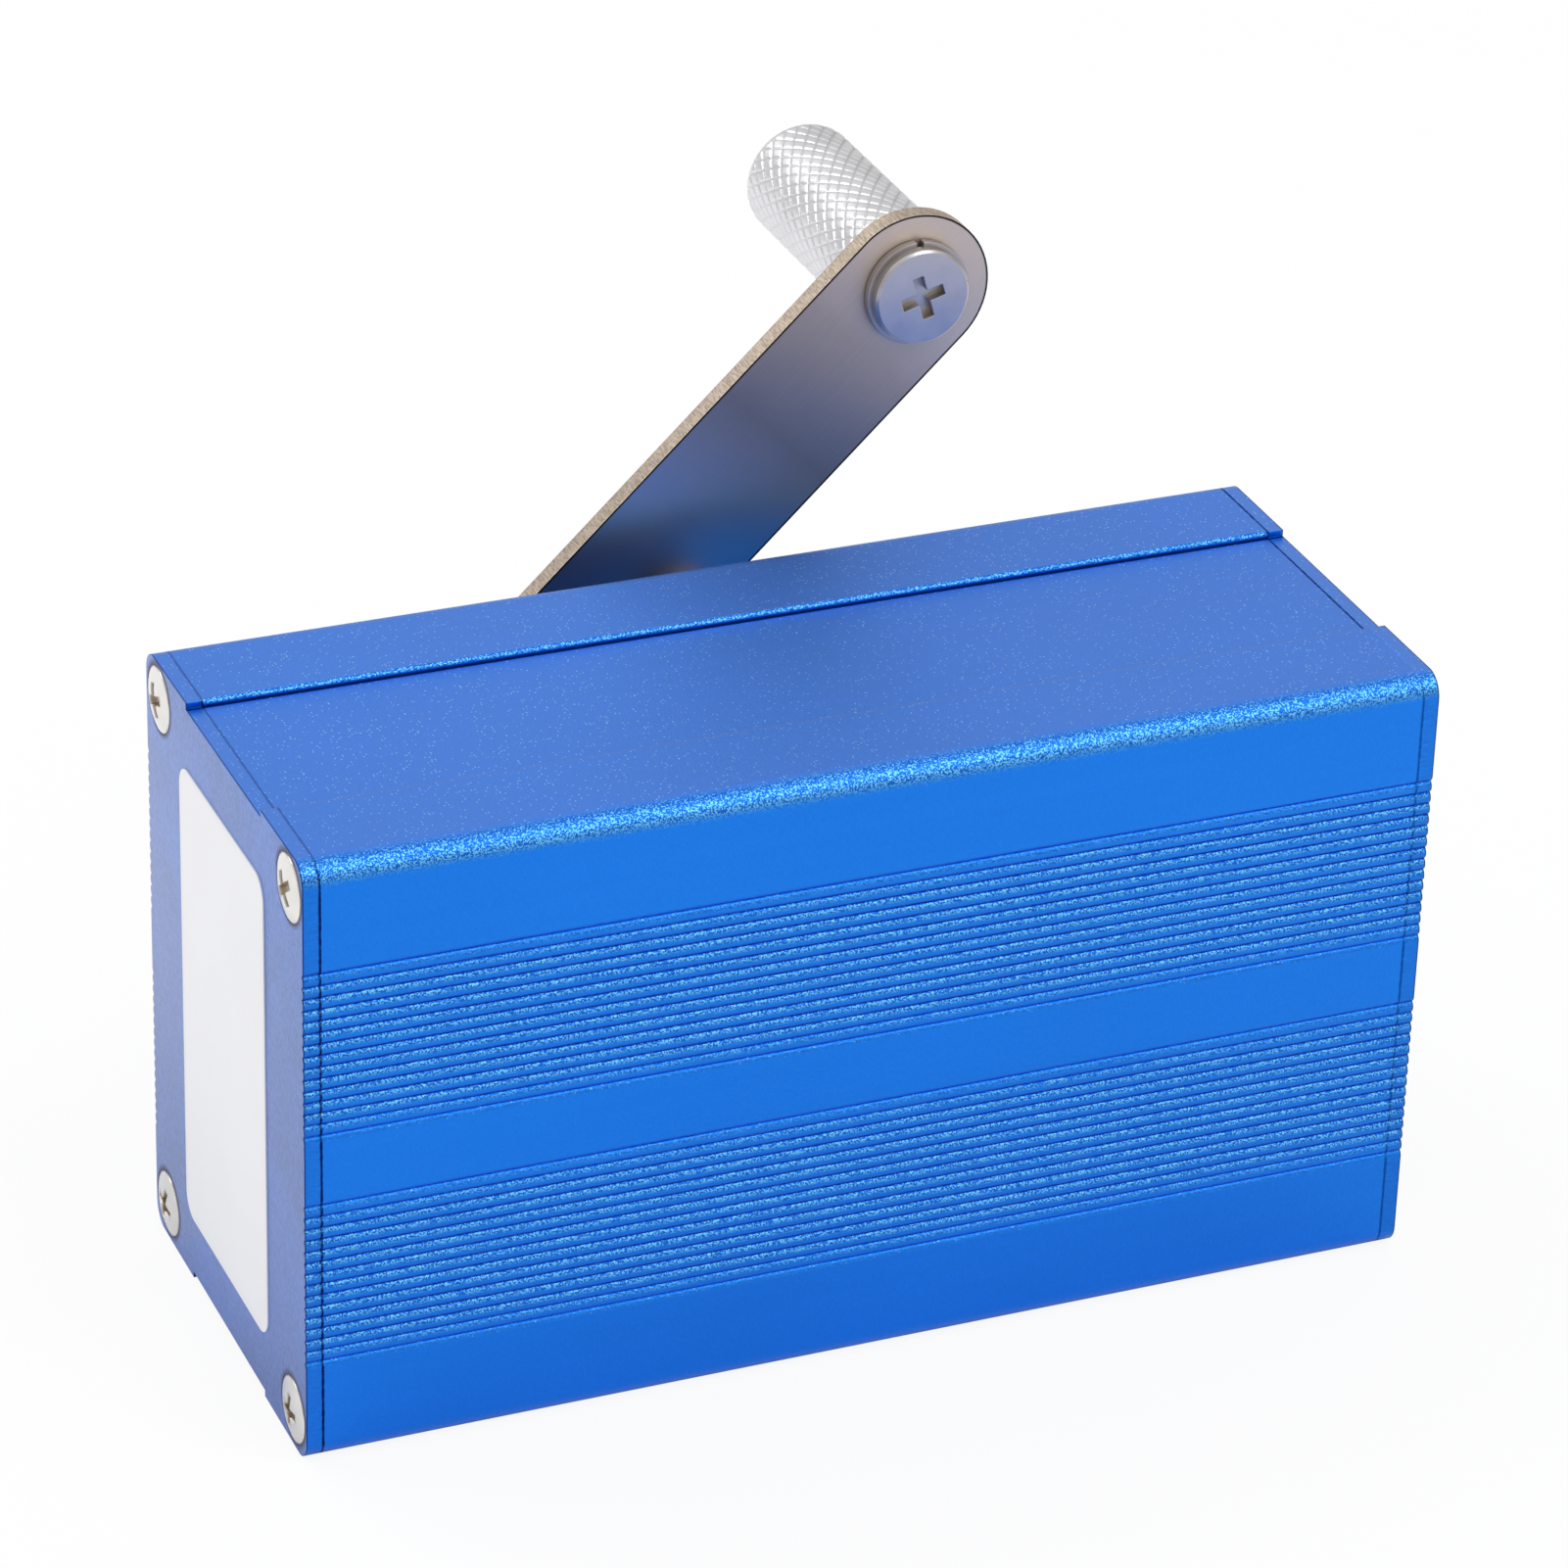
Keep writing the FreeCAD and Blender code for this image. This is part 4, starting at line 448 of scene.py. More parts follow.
        # Painted shade: grooves and corners darkened by how closed in they are, with less
        # coat.
        deep = graph.crevice(self.groove_reach) * firm * self.groove_strength
        colour = graph.mix(deep, colour, self.painted_groove_shade)
        seam = abs(y - self.seam_y).below(*self.seam_edge)
        seam = seam * abs(slopes[0]).below(*self.seam_slope) * self.seam_strength
        dark = seam.at_least(self.joint_line(graph, where, up))
        colour = graph.mix(dark, colour, self.navy)
        rough = self.gloss(cloud) + dark * self.dark_rough + up * self.up_rough
        coat = up.above(*self.up_flat) * self.up_coat + self.coat - dark - deep
        return {**self.sockets(graph, colour, rough, grain),
                "Coat Weight": coat.clamped()}

    def bend(self, slopes: Sequence[Signal]) -> Signal:
        """Give 1 on ribs and round edges that see the sky, where glints are painted, and 0
        on what is flat.
        """
        level = abs(slopes[0]).at_least(abs(slopes[1])).at_least(abs(slopes[2]))
        return level.below(*self.curved) * slopes[2].above(*self.lit)

    def painted_glints_and_shade(self, graph: Graph, where: Signal, up: Signal) -> Signal:
        """Give the painted glints of the blasted grain and the painted shade between them.
        """
        edge, width = self.glint_edge
        grit = graph.noise(where, self.glint_grain)
        return graph.mix(grit.above(up * self.glint_rise + edge, width), self.painted_grain_shade,
                         self.painted_glint)

    def firmness(self, z: Signal) -> Signal:
        """Give 1, and less where the ribs fade at the ends of their bands, so the painted
        glints and groove shade fade there.
        """
        height = abs(z - self.band_middle)
        inner, outer = (abs(height - end).below(0.0, self.band_fade)
                        for end in self.band_ends)
        return 1.0 - inner.at_least(outer) * self.fade_strength

    def joint_line(self, graph: Graph, where: Signal, up: Signal) -> Signal:
        """Give how dark the ragged line is where an end plate meets the extrusion."""
        x, y, _ = graph.axes(where)
        ragged = graph.noise(where, self.joint_grain, FINE) * self.joint_ragged
        line = (abs(abs(x) - self.joint) + ragged).below(*self.joint_edge)
        right = x.above(0.0, self.side_width)
        behind = y.above(self.scratch_y, self.side_width)
        above = right * behind * self.joint_right + (1.0 - right) * self.joint_left
        beside = 1.0 - right * self.joint_lost
        return line * (up * above + (1.0 - up) * beside)


@dataclass(frozen=True)
class SheetBlasted(Blasted):
    """The same oxide on cut sheet: a greyer blue on its faces, partly its own finish and
    partly a painted reflection of their pale sheen; as the extrusion on its rim.
    """

    coat_roughness: float = 0.3
    depth: float = 5e-5
    edge_round: float = 0.3 * MM
    face: Colour = (0.02, 0.15, 0.6)
    face_slope: Ramp = (0.6, 0.1)
    face_dark: float = 0.4
    face_light: float = 1.35
    face_shade: Ramp = (0.2, 0.6)
    face_cloud: float = 12 * MM
    mottle_grain: float = 0.476 * MM
    mottle_share: float = 0.6
    face_metallic: float = 0.75
    face_coat: float = 0.58
    coat_mottle: float = 0.7
    coat_least: float = 0.77
    haze_back: float = 0.18
    haze_height: float = 0.3
    saw_grain: float = 0.14 * MM
    saw_stretch: float = 0.1
    saw_edge: Ramp = (0.35, 0.3)
    saw_slope: Ramp = (0.1, 0.5)
    saw_strength: float = 0.25
    outside: float = 1.0
    edge_shade_width: float = 0.14 * MM
    edge_shade_strength: float = 0.8
    screws: tuple[float, float] = (0.0, 0.0)
    screw_pitch: tuple[float, float] = (1.0, 1.0)
    head: float = 3.22 * MM
    shadow_width: float = 0.5 * MM
    gap_shift: tuple[float, float] = (-0.12 * MM, 0.15 * MM)

    def surface(self, graph: Graph) -> dict[str, Value]:
        """Tell faces from the rim by which way they look, and paint shade on the rim's edge
        and round the screw heads.
        """
        made = super().surface(graph)
        where = graph.place()
        x, y, z = graph.axes(where)
        slopes = graph.axes(graph.place("Normal"))
        side = abs(slopes[0]).above(*self.face_slope)
        mottle = graph.noise(where, self.mottle_grain, FINE, HARSH)
        cloud = graph.noise(where, self.face_cloud, FINE)
        share = mottle * self.mottle_share + cloud * (1.0 - self.mottle_share)
        # The faces' greyer blue: partly the sheet's own finish, partly a painted reflection
        # of the pale sheen seen at a slant.
        face = graph.mix(share.above(*self.face_shade), scaled(self.face, self.face_dark),
                         scaled(self.face, self.face_light))
        sawn = graph.noise(graph.joined(x * self.saw_stretch, y, z), self.saw_grain, FINE,
                           HARSH)
        sawn = sawn.below(*self.saw_edge) * slopes[2].below(*self.saw_slope)
        rim = graph.mix(sawn * self.saw_strength, made["Base Color"], self.navy)
        # Painted shade: a dark line along the rim's edge next to the face.
        edge_shade = abs(x).above(self.outside - self.edge_shade_width, self.edge_shade_width / 2)
        edge_shade = edge_shade * (1.0 - side) * self.edge_shade_strength
        # Painted shadow round each screw head, with the painted edge shade, in navy and
        # with less coat.
        shaded = (self.screw_shadow(y, z) * side).at_least(edge_shade)
        made["Base Color"] = graph.mix(shaded, graph.mix(side, rim, face), self.navy)
        made["Metallic"] = side * (self.face_metallic - self.metallic) + self.metallic
        height = (z - self.screws[1]) / self.screw_pitch[1]
        back = (y - self.screws[0]) / self.screw_pitch[0]
        haze = back * self.haze_back - height * height * self.haze_height
        coat = (mottle * self.coat_mottle + self.coat_least + haze) * self.face_coat
        coat = graph.mix_numbers(side, made["Coat Weight"], coat)
        made["Coat Weight"] = coat * (1.0 - shaded)
        return made

    def screw_shadow(self, y: Signal, z: Signal) -> Signal:
        """Give 1 in the painted shadow ring round each end screw's head, shifted to one
        side.
        """
        off_y = abs(y - self.gap_shift[0] - self.screws[0]) - self.screw_pitch[0]
        off_z = abs(z - self.gap_shift[1] - self.screws[1]) - self.screw_pitch[1]
        reach = (off_y * off_y + off_z * off_z).root()
        return reach.below(self.head + self.shadow_width / 3, self.shadow_width)


@dataclass(frozen=True)
class Brushed(Finish):
    """Steel strip brushed along its length, with sheared edges, a painted line of shade
    along them, painted shade before the grip end and a painted highlight at it.
    """

    start: tuple[float, float] = (0.0, 0.0)
    end: tuple[float, float] = (1.0, 0.0)
    half_width: float = 7.6 * MM
    cloud: float = 9 * MM
    shade_spread: float = 0.3
    gloss_spread: float = 0.05
    flat_slope: Ramp = (0.45, 0.1)
    scratch: float = 0.13 * MM
    stretch: float = 0.012
    scratch_share: float = 0.55
    film: Colour = (0.54, 0.46, 0.46)
    film_edge: Ramp = (0.6, 0.25)
    film_strength: float = 0.6
    bright: Colour = (0.95, 0.85, 0.75)
    highlight_edge: Ramp = (0.9, 0.1)
    highlight_strength: float = 0.35
    worn_edge: Ramp = (0.6, 0.3)
    worn_gloss: float = 0.2
    painted_shade_middle: float = 0.75
    painted_shade_reach: float = 0.17
    painted_shade_strength: float = 0.45
    edge: Colour = (0.66, 0.55, 0.45)
    edge_dark: float = 0.5
    mark: float = 0.14 * MM
    mark_stretch: float = 0.15
    mark_edge: Ramp = (0.35, 0.3)
    edge_shade: Colour = (0.015, 0.012, 0.015)
    edge_shade_width: float = 0.26 * MM

    def surface(self, graph: Graph) -> dict[str, Value]:
        """Brush the faces along the strip, streak its edges across, and paint highlight and
        shade on them.
        """
        where = graph.place()
        x, y, z = graph.axes(where)
        flat = abs(graph.axes(graph.place("Normal"))[1]).above(*self.flat_slope)
        length = math.dist(self.start, self.end)
        along, across = self.strip(x, z, length)
        past = along - along.at_least(0.0).at_most(length)
        reach = (past * past + across * across).root()
        strokes = graph.noise(graph.joined(along * self.stretch, across, y), self.scratch,
                              FINEST, HARSH)
        marks = graph.noise(graph.joined(along, across, y * self.mark_stretch), self.mark,
                            FINE, HARSH)
        stain = graph.noise(where, self.cloud, FINE)
        share = along / length
        face = self.shade(graph, strokes * self.scratch_share
                          + stain * (1.0 - self.scratch_share))
        face = graph.mix(share.below(*self.film_edge) * self.film_strength, face,
                         self.film)
        # Painted highlight: the face lighter near the grip end.
        face = graph.mix(share.above(*self.highlight_edge) * self.highlight_strength, face,
                         self.bright)
        # Painted shade: the face darker between the middle and the grip end.
        painted_shade = abs(share - self.painted_shade_middle).below(0.0, self.painted_shade_reach)
        face = graph.mix(painted_shade * self.painted_shade_strength, face, BLACK)
        side = graph.mix(marks.above(*self.mark_edge), scaled(self.edge, self.edge_dark),
                         self.edge)
        # Painted shade: a near-black line along the face's edges.
        edge_shade = flat * reach.above(self.half_width - self.edge_shade_width, self.edge_shade_width / 2)
        colour = graph.mix(edge_shade, graph.mix(flat, side, face), self.edge_shade)
        rough = self.gloss(stain) + share.above(*self.worn_edge) * self.worn_gloss
        height = graph.mix_numbers(flat, marks, strokes)
        return self.sockets(graph, colour, rough, height)

    def strip(self, x: Signal, z: Signal, length: float) -> tuple[Signal, Signal]:
        """Give the place along the strip's middle line and the place across it."""
        cosine = (self.end[0] - self.start[0]) / length
        sine = (self.end[1] - self.start[1]) / length
        from_x, from_z = x - self.start[0], z - self.start[1]
        return from_x * cosine + from_z * sine, from_z * cosine - from_x * sine


@dataclass(frozen=True)
class Plated(Finish):
    """Bright plating: faint orange peel, haze, a few pits, and dirt with painted shade in
    its recesses.
    """

    depth: float = 2e-6
    cloud: float = 2.2 * MM
    shade_spread: float = 0.16
    gloss_spread: float = 0.06
    pit: float = 0.9 * MM
    pit_share: float = 0.12
    pit_size: float = 0.12
    pit_dark: float = 0.35
    pit_rough: float = 0.3
    dirt_and_shade: Colour = (0.75, 0.68, 0.58)
    dirt_rough: float = 0.15
    recess: float = 1.5 * MM
    dirt_and_shade_strength: float = 1.0

    def surface(self, graph: Graph) -> dict[str, Value]:
        """Lay haze, peel, pits, and dirt with painted shade in the recesses."""
        where = graph.place()
        haze = graph.noise(where, self.cloud, FINE)
        peel = graph.noise(where, self.grain)
        pits = graph.speckle(where, self.pit, self.pit_share, self.pit_size)
        colour = graph.mix(pits, self.shade(graph, haze),
                           scaled(self.colour, self.pit_dark))
        # Dirt and painted shade: recesses darkened towards a dirt tone by how closed in
        # they are.
        deep = graph.crevice(self.recess) * self.dirt_and_shade_strength
        colour = graph.mix(deep, colour, self.dirt_and_shade)
        rough = self.gloss(haze) + pits * self.pit_rough + deep * self.dirt_rough
        return self.sockets(graph, colour, rough, peel)


@dataclass(frozen=True)
class Turned(Finish):
    """Machined metal: fine tool marks round the Y axis, with a film of oil."""

    depth: float = 2e-6
    cloud: float = 5 * MM
    shade_spread: float = 0.24
    gloss_spread: float = 0.08
    pitch: float = 0.16 * MM
    wander: float = 1.5 * MM
    wander_angle: float = 4.0
    mark_share: float = 0.3

    def surface(self, graph: Graph) -> dict[str, Value]:
        """Lay tool marks across the axis."""
        where = graph.place()
        y = graph.axes(where)[1]
        wander = graph.noise(where, self.wander) * self.wander_angle
        marks = (y * (math.tau / self.pitch) + wander).sine() * 0.5 + 0.5
        stain = graph.noise(where, self.cloud, FINE)
        share = marks * self.mark_share + stain * (1.0 - self.mark_share)
        return self.sockets(graph, self.shade(graph, share), self.gloss(stain), marks)


@dataclass(frozen=True)
class Knurl:
    """Crossed helical grooves round a cylinder along Y."""

    axis: tuple[float, float]
    radius: float
    start: float
    end: float
    starts: int = 26
    lean: float = math.radians(32)
    depth: float = 0.11 * MM
    groove_share: float = 0.15

    @property
    def pitch(self) -> float:
        """Give the distance along the axis between grooves of one family."""
        return math.tau * self.radius / self.starts / math.tan(self.lean)

    def relief(self, share: float, along: float) -> float:
        """Give 1 at the bottom of a groove and 0 on the lands.

        Args:
            share: The turn round the axis, from 0 to 1.
            along: The place along the axis.

        Returns:
            The share of the full depth.
        """
        deepest = 0.0
        for way in (-1.0, 1.0):
            phase = share * self.starts + way * along / self.pitch
            offset = abs((phase + 0.5) % 1.0 - 0.5)
            deepest = max(deepest, 1.0 - offset / self.groove_share)
        return deepest


@dataclass(frozen=True)
class Knurled(Turned):
    """Bright turned metal with painted shade, a little grey, in the bottom of its knurl's
    grooves.
    """

    knurl: Knurl | None = None
    painted_groove_shade: Colour = (0.74, 0.73, 0.75)
    line: float = 0.1
    border: float = 0.1 * MM

    def surface(self, graph: Graph) -> dict[str, Value]:
        """Paint shade, a little grey, on the bottom of both families of grooves."""
        made = super().surface(graph)
        knurl = self.knurl
        x, y, z = graph.axes(graph.place())
        turn = z.math("ARCTAN2", z - knurl.axis[1], x - knurl.axis[0])
        share = turn * (knurl.starts / math.tau)
        # Painted shade: grey lines along the bottom of the knurl's grooves.
        painted_groove_shade: Value = 0.0
        for way in (-1.0, 1.0):
            phase = share + y * (way / knurl.pitch) + 0.5
            offset = abs(phase.math("FRACT", phase) - 0.5)
            painted_groove_shade = offset.below(self.line / 2, self.line / 2).at_least(painted_groove_shade)
        inside = y.above(knurl.start, self.border) * y.below(knurl.end, self.border)
        made["Base Color"] = graph.mix(painted_groove_shade * inside, made["Base Color"], self.painted_groove_shade)
        return made


class Layers(Enum):
    """What a layered surface counts its layers by."""

    SHEETS = "along the Y axis"
    TURNS = "outwards from the Y axis"


@dataclass(frozen=True)
class Layered(Finish):
    """Stacked sheets, or turns of wire laid side by side."""

    cloud: float = 3 * MM
    shade_spread: float = 0.15
    gloss_spread: float = 0.06
    layers: Layers = Layers.SHEETS
    pitch: float = 0.35 * MM
    axis: tuple[float, float] = (0.0, 0.0)
    joint_dark: float = 0.3
    joint_edge: Ramp = (0.1, 0.25)

    def surface(self, graph: Graph) -> dict[str, Value]:
        """Lay round-topped layers with dark joints between them."""
        where = graph.place()
        x, y, z = graph.axes(where)
        if self.layers is Layers.SHEETS:
            count = y
        else:
            from_x, from_z = x - self.axis[0], z - self.axis[1]
            count = (from_x * from_x + from_z * from_z).root()
        ridge = abs((count * (math.pi / self.pitch)).sine())
        cloud = graph.noise(where, self.cloud)
        colour = graph.mix(ridge.below(*self.joint_edge), self.shade(graph, cloud),
                           scaled(self.colour, self.joint_dark))
        return self.sockets(graph, colour, self.gloss(cloud), ridge)


@dataclass(frozen=True)
class Masked(Finish):
    """Solder mask over copper tracks that run in two directions."""

    cloud: float = 5 * MM
    shade_spread: float = 0.15
    gloss_spread: float = 0.05
    track: float = 1.3 * MM
    track_edge: Ramp = (0.35, 0.15)
    patch: float = 8 * MM
    patch_edge: Ramp = (0.5, 0.01)
    copper: Colour = (0.08, 0.36, 0.17)

    def surface(self, graph: Graph) -> dict[str, Value]:
        """Lay raised tracks along X in some patches and along Z in others."""
        where = graph.place()
        x, _, z = graph.axes(where)
        patch = graph.noise(where, self.patch, detail=1.0).above(*self.patch_edge)
        turn = math.tau / self.track
        across = (z * turn).sine().above(*self.track_edge) * patch
        along = (x * turn).sine().above(*self.track_edge) * (1.0 - patch)
        tracks = across + along
        cloud = graph.noise(where, self.cloud)
        colour = graph.mix(tracks, self.shade(graph, cloud), self.copper)
        return self.sockets(graph, colour, self.gloss(cloud), tracks)


@dataclass(frozen=True)
class Film(Finish):
    """A matt printed film: faint fibre, a painted shadow darkening it towards its border.
    """

    cloud: float = 12 * MM
    shade_spread: float = 0.06
    gloss_spread: float = 0.05
    fibre_share: float = 0.3
    painted_border_shadow: float = 0.5
    middle: tuple[float, float] = (0.0, 0.0)
    half_size: tuple[float, float] = (12 * MM, 24 * MM)
    border: float = 1.1 * MM

    def surface(self, graph: Graph) -> dict[str, Value]:
        """Lay the fibre and paint shadow along the border."""
        where = graph.place()
        _, y, z = graph.axes(where)
        inside_y = self.half_size[0] - abs(y - self.middle[0])
        inside_z = self.half_size[1] - abs(z - self.middle[1])
        rim = inside_y.at_most(inside_z).below(0.0, self.border)
        fibre = graph.noise(where, self.grain, FINE)
        cloud = graph.noise(where, self.cloud)
        share = fibre * self.fibre_share + cloud * (1.0 - self.fibre_share)
        # Painted shadow: the film darker within a border's width of its edge.
        share = (share - rim * self.painted_border_shadow).clamped()
        return self.sockets(graph, self.shade(graph, share), self.gloss(cloud), fibre)


class Palette:
    """Every finish of the generator, by its slot in the record."""

    BLUE = (0.004, 0.2, 0.82)

    def __init__(self, frame: Frame) -> None:
        """Make the finishes.

        Args:
            frame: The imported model, which gives the hidden pieces' colours and the
                places that the finishes follow.
        """
        record = frame["record"]
        self.slot_of = {row["node"]: row["material_slot"] for row in record["subparts"]}
        self.colours = {row["slot"]: tuple(row["base_color"])
                        for row in record["materials"]}
        places = {row["name"]: row["pos_m"] for row in frame["joints"]}
        self.shaft, self.grip, self.rotor = (
            (places[name][0], places[name][2])
            for name in ("crank_turn", "grip_spin", "rotor_turn"))
        self.knurl = self.knurl_on_grip()
        finishes = (*self.case_finishes(), *self.crank_finishes(),
                    *self.hidden_finishes())
        self.finishes = {finish.slot: finish for finish in finishes}
        self.materials: dict[str, bpy.types.Material] = {}

    def knurl_on_grip(self) -> Knurl:
        """Lay the knurl out on the grip, between its chamfer and its round."""
        low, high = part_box("crank_grip")
        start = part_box("crank_arm")[1].y + Crank.grip_play + Crank.mouth_chamfer
        return Knurl(self.grip, (high.x - low.x) / 2, start, high.y - Crank.far_round)

    def case_finishes(self) -> tuple[Finish, ...]:
        """Make the finishes of the case, its label and its screws."""
        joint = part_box("front_shell")[1].x
        outside = -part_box("left_end_plate")[0].x
        label, label_half = self.middle_and_half("left_label")
        screws, screws_half = self.middle_and_half("left_plate_screws")
        head = SheetBlasted.head
        return (
            Blasted("anodised_blue", self.BLUE, joint=joint),
            SheetBlasted("anodised_lavender", self.BLUE, joint=joint, outside=outside,
                         screws=screws.yz,
                         screw_pitch=(screws_half.y - head, screws_half.z - head)),
            Film("label", (0.89, 0.89, 0.91), 0.0, 0.45, coat=0.1, coat_roughness=0.4,
                 grain=0.25 * MM, depth=2e-6, middle=label.yz, half_size=label_half.yz),
            Plated("nickel_screws", (0.84, 0.82, 0.78), 1.0, 0.18, depth=4e-6,
                   edge_round=0.35 * MM),
        )

    def crank_finishes(self) -> tuple[Finish, ...]:
        """Make the finishes of the arm, the grip and their screws."""
        return (
            Plated("zinc", (0.5, 0.48, 0.5), 1.0, 0.3, edge_round=0.12 * MM,
                   dirt_and_shade=(0.42, 0.38, 0.34), recess=1.4 * MM, dirt_and_shade_strength=0.85),
            Brushed("brushed_steel", (0.56, 0.455, 0.385), 1.0, 0.33, depth=3e-6,
                    edge_round=0.2 * MM, start=self.shaft, end=self.grip,
                    half_width=self.shaft[0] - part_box("crank_arm")[0].x),
            Knurled("grip_aluminium", (0.82, 0.81, 0.825), 1.0, 0.36, depth=1.5e-6,
                    knurl=self.knurl),
        )

    def hidden_finishes(self) -> tuple[Finish, ...]:
        """Make the finishes of what the case hides, in the record's own colours."""
        rows = (
            (Turned, "bright_steel", 1.0, 0.25, {}),
            (Turned, "gear_steel", 1.0, 0.32, {}),
            (Turned, "gear_brass", 1.0, 0.3, {}),
            (Turned, "bronze", 1.0, 0.42, {}),
            (Plated, "plate_steel", 1.0, 0.35, {}),
            (Plated, "drawn_steel", 1.0, 0.28, {}),
            (Plated, "magnet_nickel", 1.0, 0.18, {}),
            (Plated, "socket_steel", 1.0, 0.22, {}),
            (Plated, "contact_gold", 1.0, 0.18, {"depth": 1e-6}),
            (Layered, "core_iron", 0.8, 0.5, {"depth": 2e-5}),
            (Layered, "copper_wire", 0.9, 0.25,
             {"coat": 0.6, "coat_roughness": 0.1, "depth": 8e-5, "layers": Layers.TURNS,
              "pitch": 0.38 * MM, "axis": self.rotor}),
            (Masked, "board", 0.0, 0.3,
             {"coat": 0.3, "coat_roughness": 0.1, "depth": 2.5e-5}),
            (Finish, "die_cast", 1.0, 0.5, {"grain": 0.5 * MM, "depth": 1e-5}),
            (Finish, "wire_cover", 0.0, 0.42, {}),
            (Finish, "grommet_rubber", 0.0, 0.75, {"depth": 8e-6}),
            (Finish, "terminal_plastic", 0.0, 0.4, {}),
            (Finish, "black_epoxy", 0.0, 0.45, {"depth": 6e-6}),
            (Finish, "capacitor_can", 0.0, 0.3, {}),
            (Finish, "ferrite", 0.0, 0.6, {"grain": 0.25 * MM, "depth": 1e-5}),
            (Finish, "lamp_epoxy", 0.0, 0.18,
             {"coat": 0.5, "coat_roughness": 0.05, "depth": 2e-6}),
            (Finish, "socket_plastic", 0.0, 0.38, {}),
        )
        return tuple(kind(slot, self.colours[slot], metallic, roughness, **more)
                     for kind, slot, metallic, roughness, more in rows)

    @staticmethod
    def middle_and_half(node: str) -> tuple[Vector, Vector]:
        """Give the middle of a node's box and half its size."""
        low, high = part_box(node)
        return (low + high) / 2, (high - low) / 2

    def dress(self, item: bpy.types.Object, slot: str) -> None:
        """Put a slot's material on an object in place of what it has.

        Args:
            item: A piece or a node of the frame.
            slot: The record's slot.
        """
        if slot not in self.materials:
            self.materials[slot] = self.finishes[slot].material()
        if not item.material_slots:
            item.data.materials.append(None)
        for place in item.material_slots:
            place.material = self.materials[slot]


# -------- meshes
def placed(name: str, data: bpy.types.ID) -> bpy.types.Object:
    """Put a new object with its data into the scene."""
    item = bpy.data.objects.new(name, data)
    bpy.context.scene.collection.objects.link(item)
    return item


@dataclass(frozen=True)
class Station:
    """One ring of a turned piece: its place along the axis, radius and share of relief."""

    along: float
    radius: float
    relief: float = 0.0


def turned_piece(name: str, axis: tuple[float, float], stations: Sequence[Station],
                 columns: int, relief: Callable[[float, float], float]) -> bpy.types.Object:
    """Turn a closed outline about an axis along Y.

    Args:
        name: The piece's name.
        axis: The axis's X and Z.
        stations: The outline's rings in order; a ring of no radius is a single point.
        columns: The number of points round each ring.
        relief: How deep the surface lies under its ring, from the turn round the axis,
            0 to 1, and the place along it.

    Returns:
        The piece, in the scene, with smooth faces and sharp corners.
    """
    points: list[tuple[float, float, float]] = []
    rings: list[list[int]] = []
    for station in stations:
        count = columns if station.radius > 0.0 else 1
        rings.append(list(range(len(points), len(points) + count)))
        for column in range(count):
            share = column / columns
            radius = station.radius
            if station.relief > 0.0:
                radius -= station.relief * relief(share, station.along)
            angle = math.tau * share
            points.append((axis[0] + radius * math.cos(angle), station.along,
                           axis[1] + radius * math.sin(angle)))
    faces: list[tuple[int, ...]] = []
    for near, far in zip(rings, rings[1:]):
        for column in range(columns):
            following = (column + 1) % columns
            corners = (near[column % len(near)], near[following % len(near)],
                       far[following % len(far)], far[column % len(far)])
            faces.append(tuple(dict.fromkeys(corners)))
    mesh = bpy.data.meshes.new(name)
    mesh.from_pydata(points, [], faces)
    mesh.shade_smooth()
    mesh.set_sharp_from_angle(angle=SHARP_ANGLE)
    return placed(name, mesh)


# -------- sub-assemblies
@dataclass
class SubAssembly:
    """Pieces that go together on the bench."""

    frame: Frame
    palette: Palette
    nodes: tuple[str, ...] = ()

    def build(self) -> list[bpy.types.Object]:
        """Make the pieces that the frame doesn't hold in full; most have none."""
        return []

    def dress(self) -> None:
        """Give every node of the frame its finish and report it."""
        for name in self.nodes:
            slot = self.palette.slot_of[name]
            self.palette.dress(self.frame["nodes"][name], slot)
            LOG.info("%s: finished as %s", name, slot)


@dataclass
class Case(SubAssembly):
    """The two extruded halves, the end plates, their screws and the label."""

    nodes: tuple[str, ...] = (
        "front_shell", "rear_shell", "left_end_plate", "right_end_plate", "left_label",
        "left_plate_screws", "right_plate_screws", "gearbox_mounting_screws")


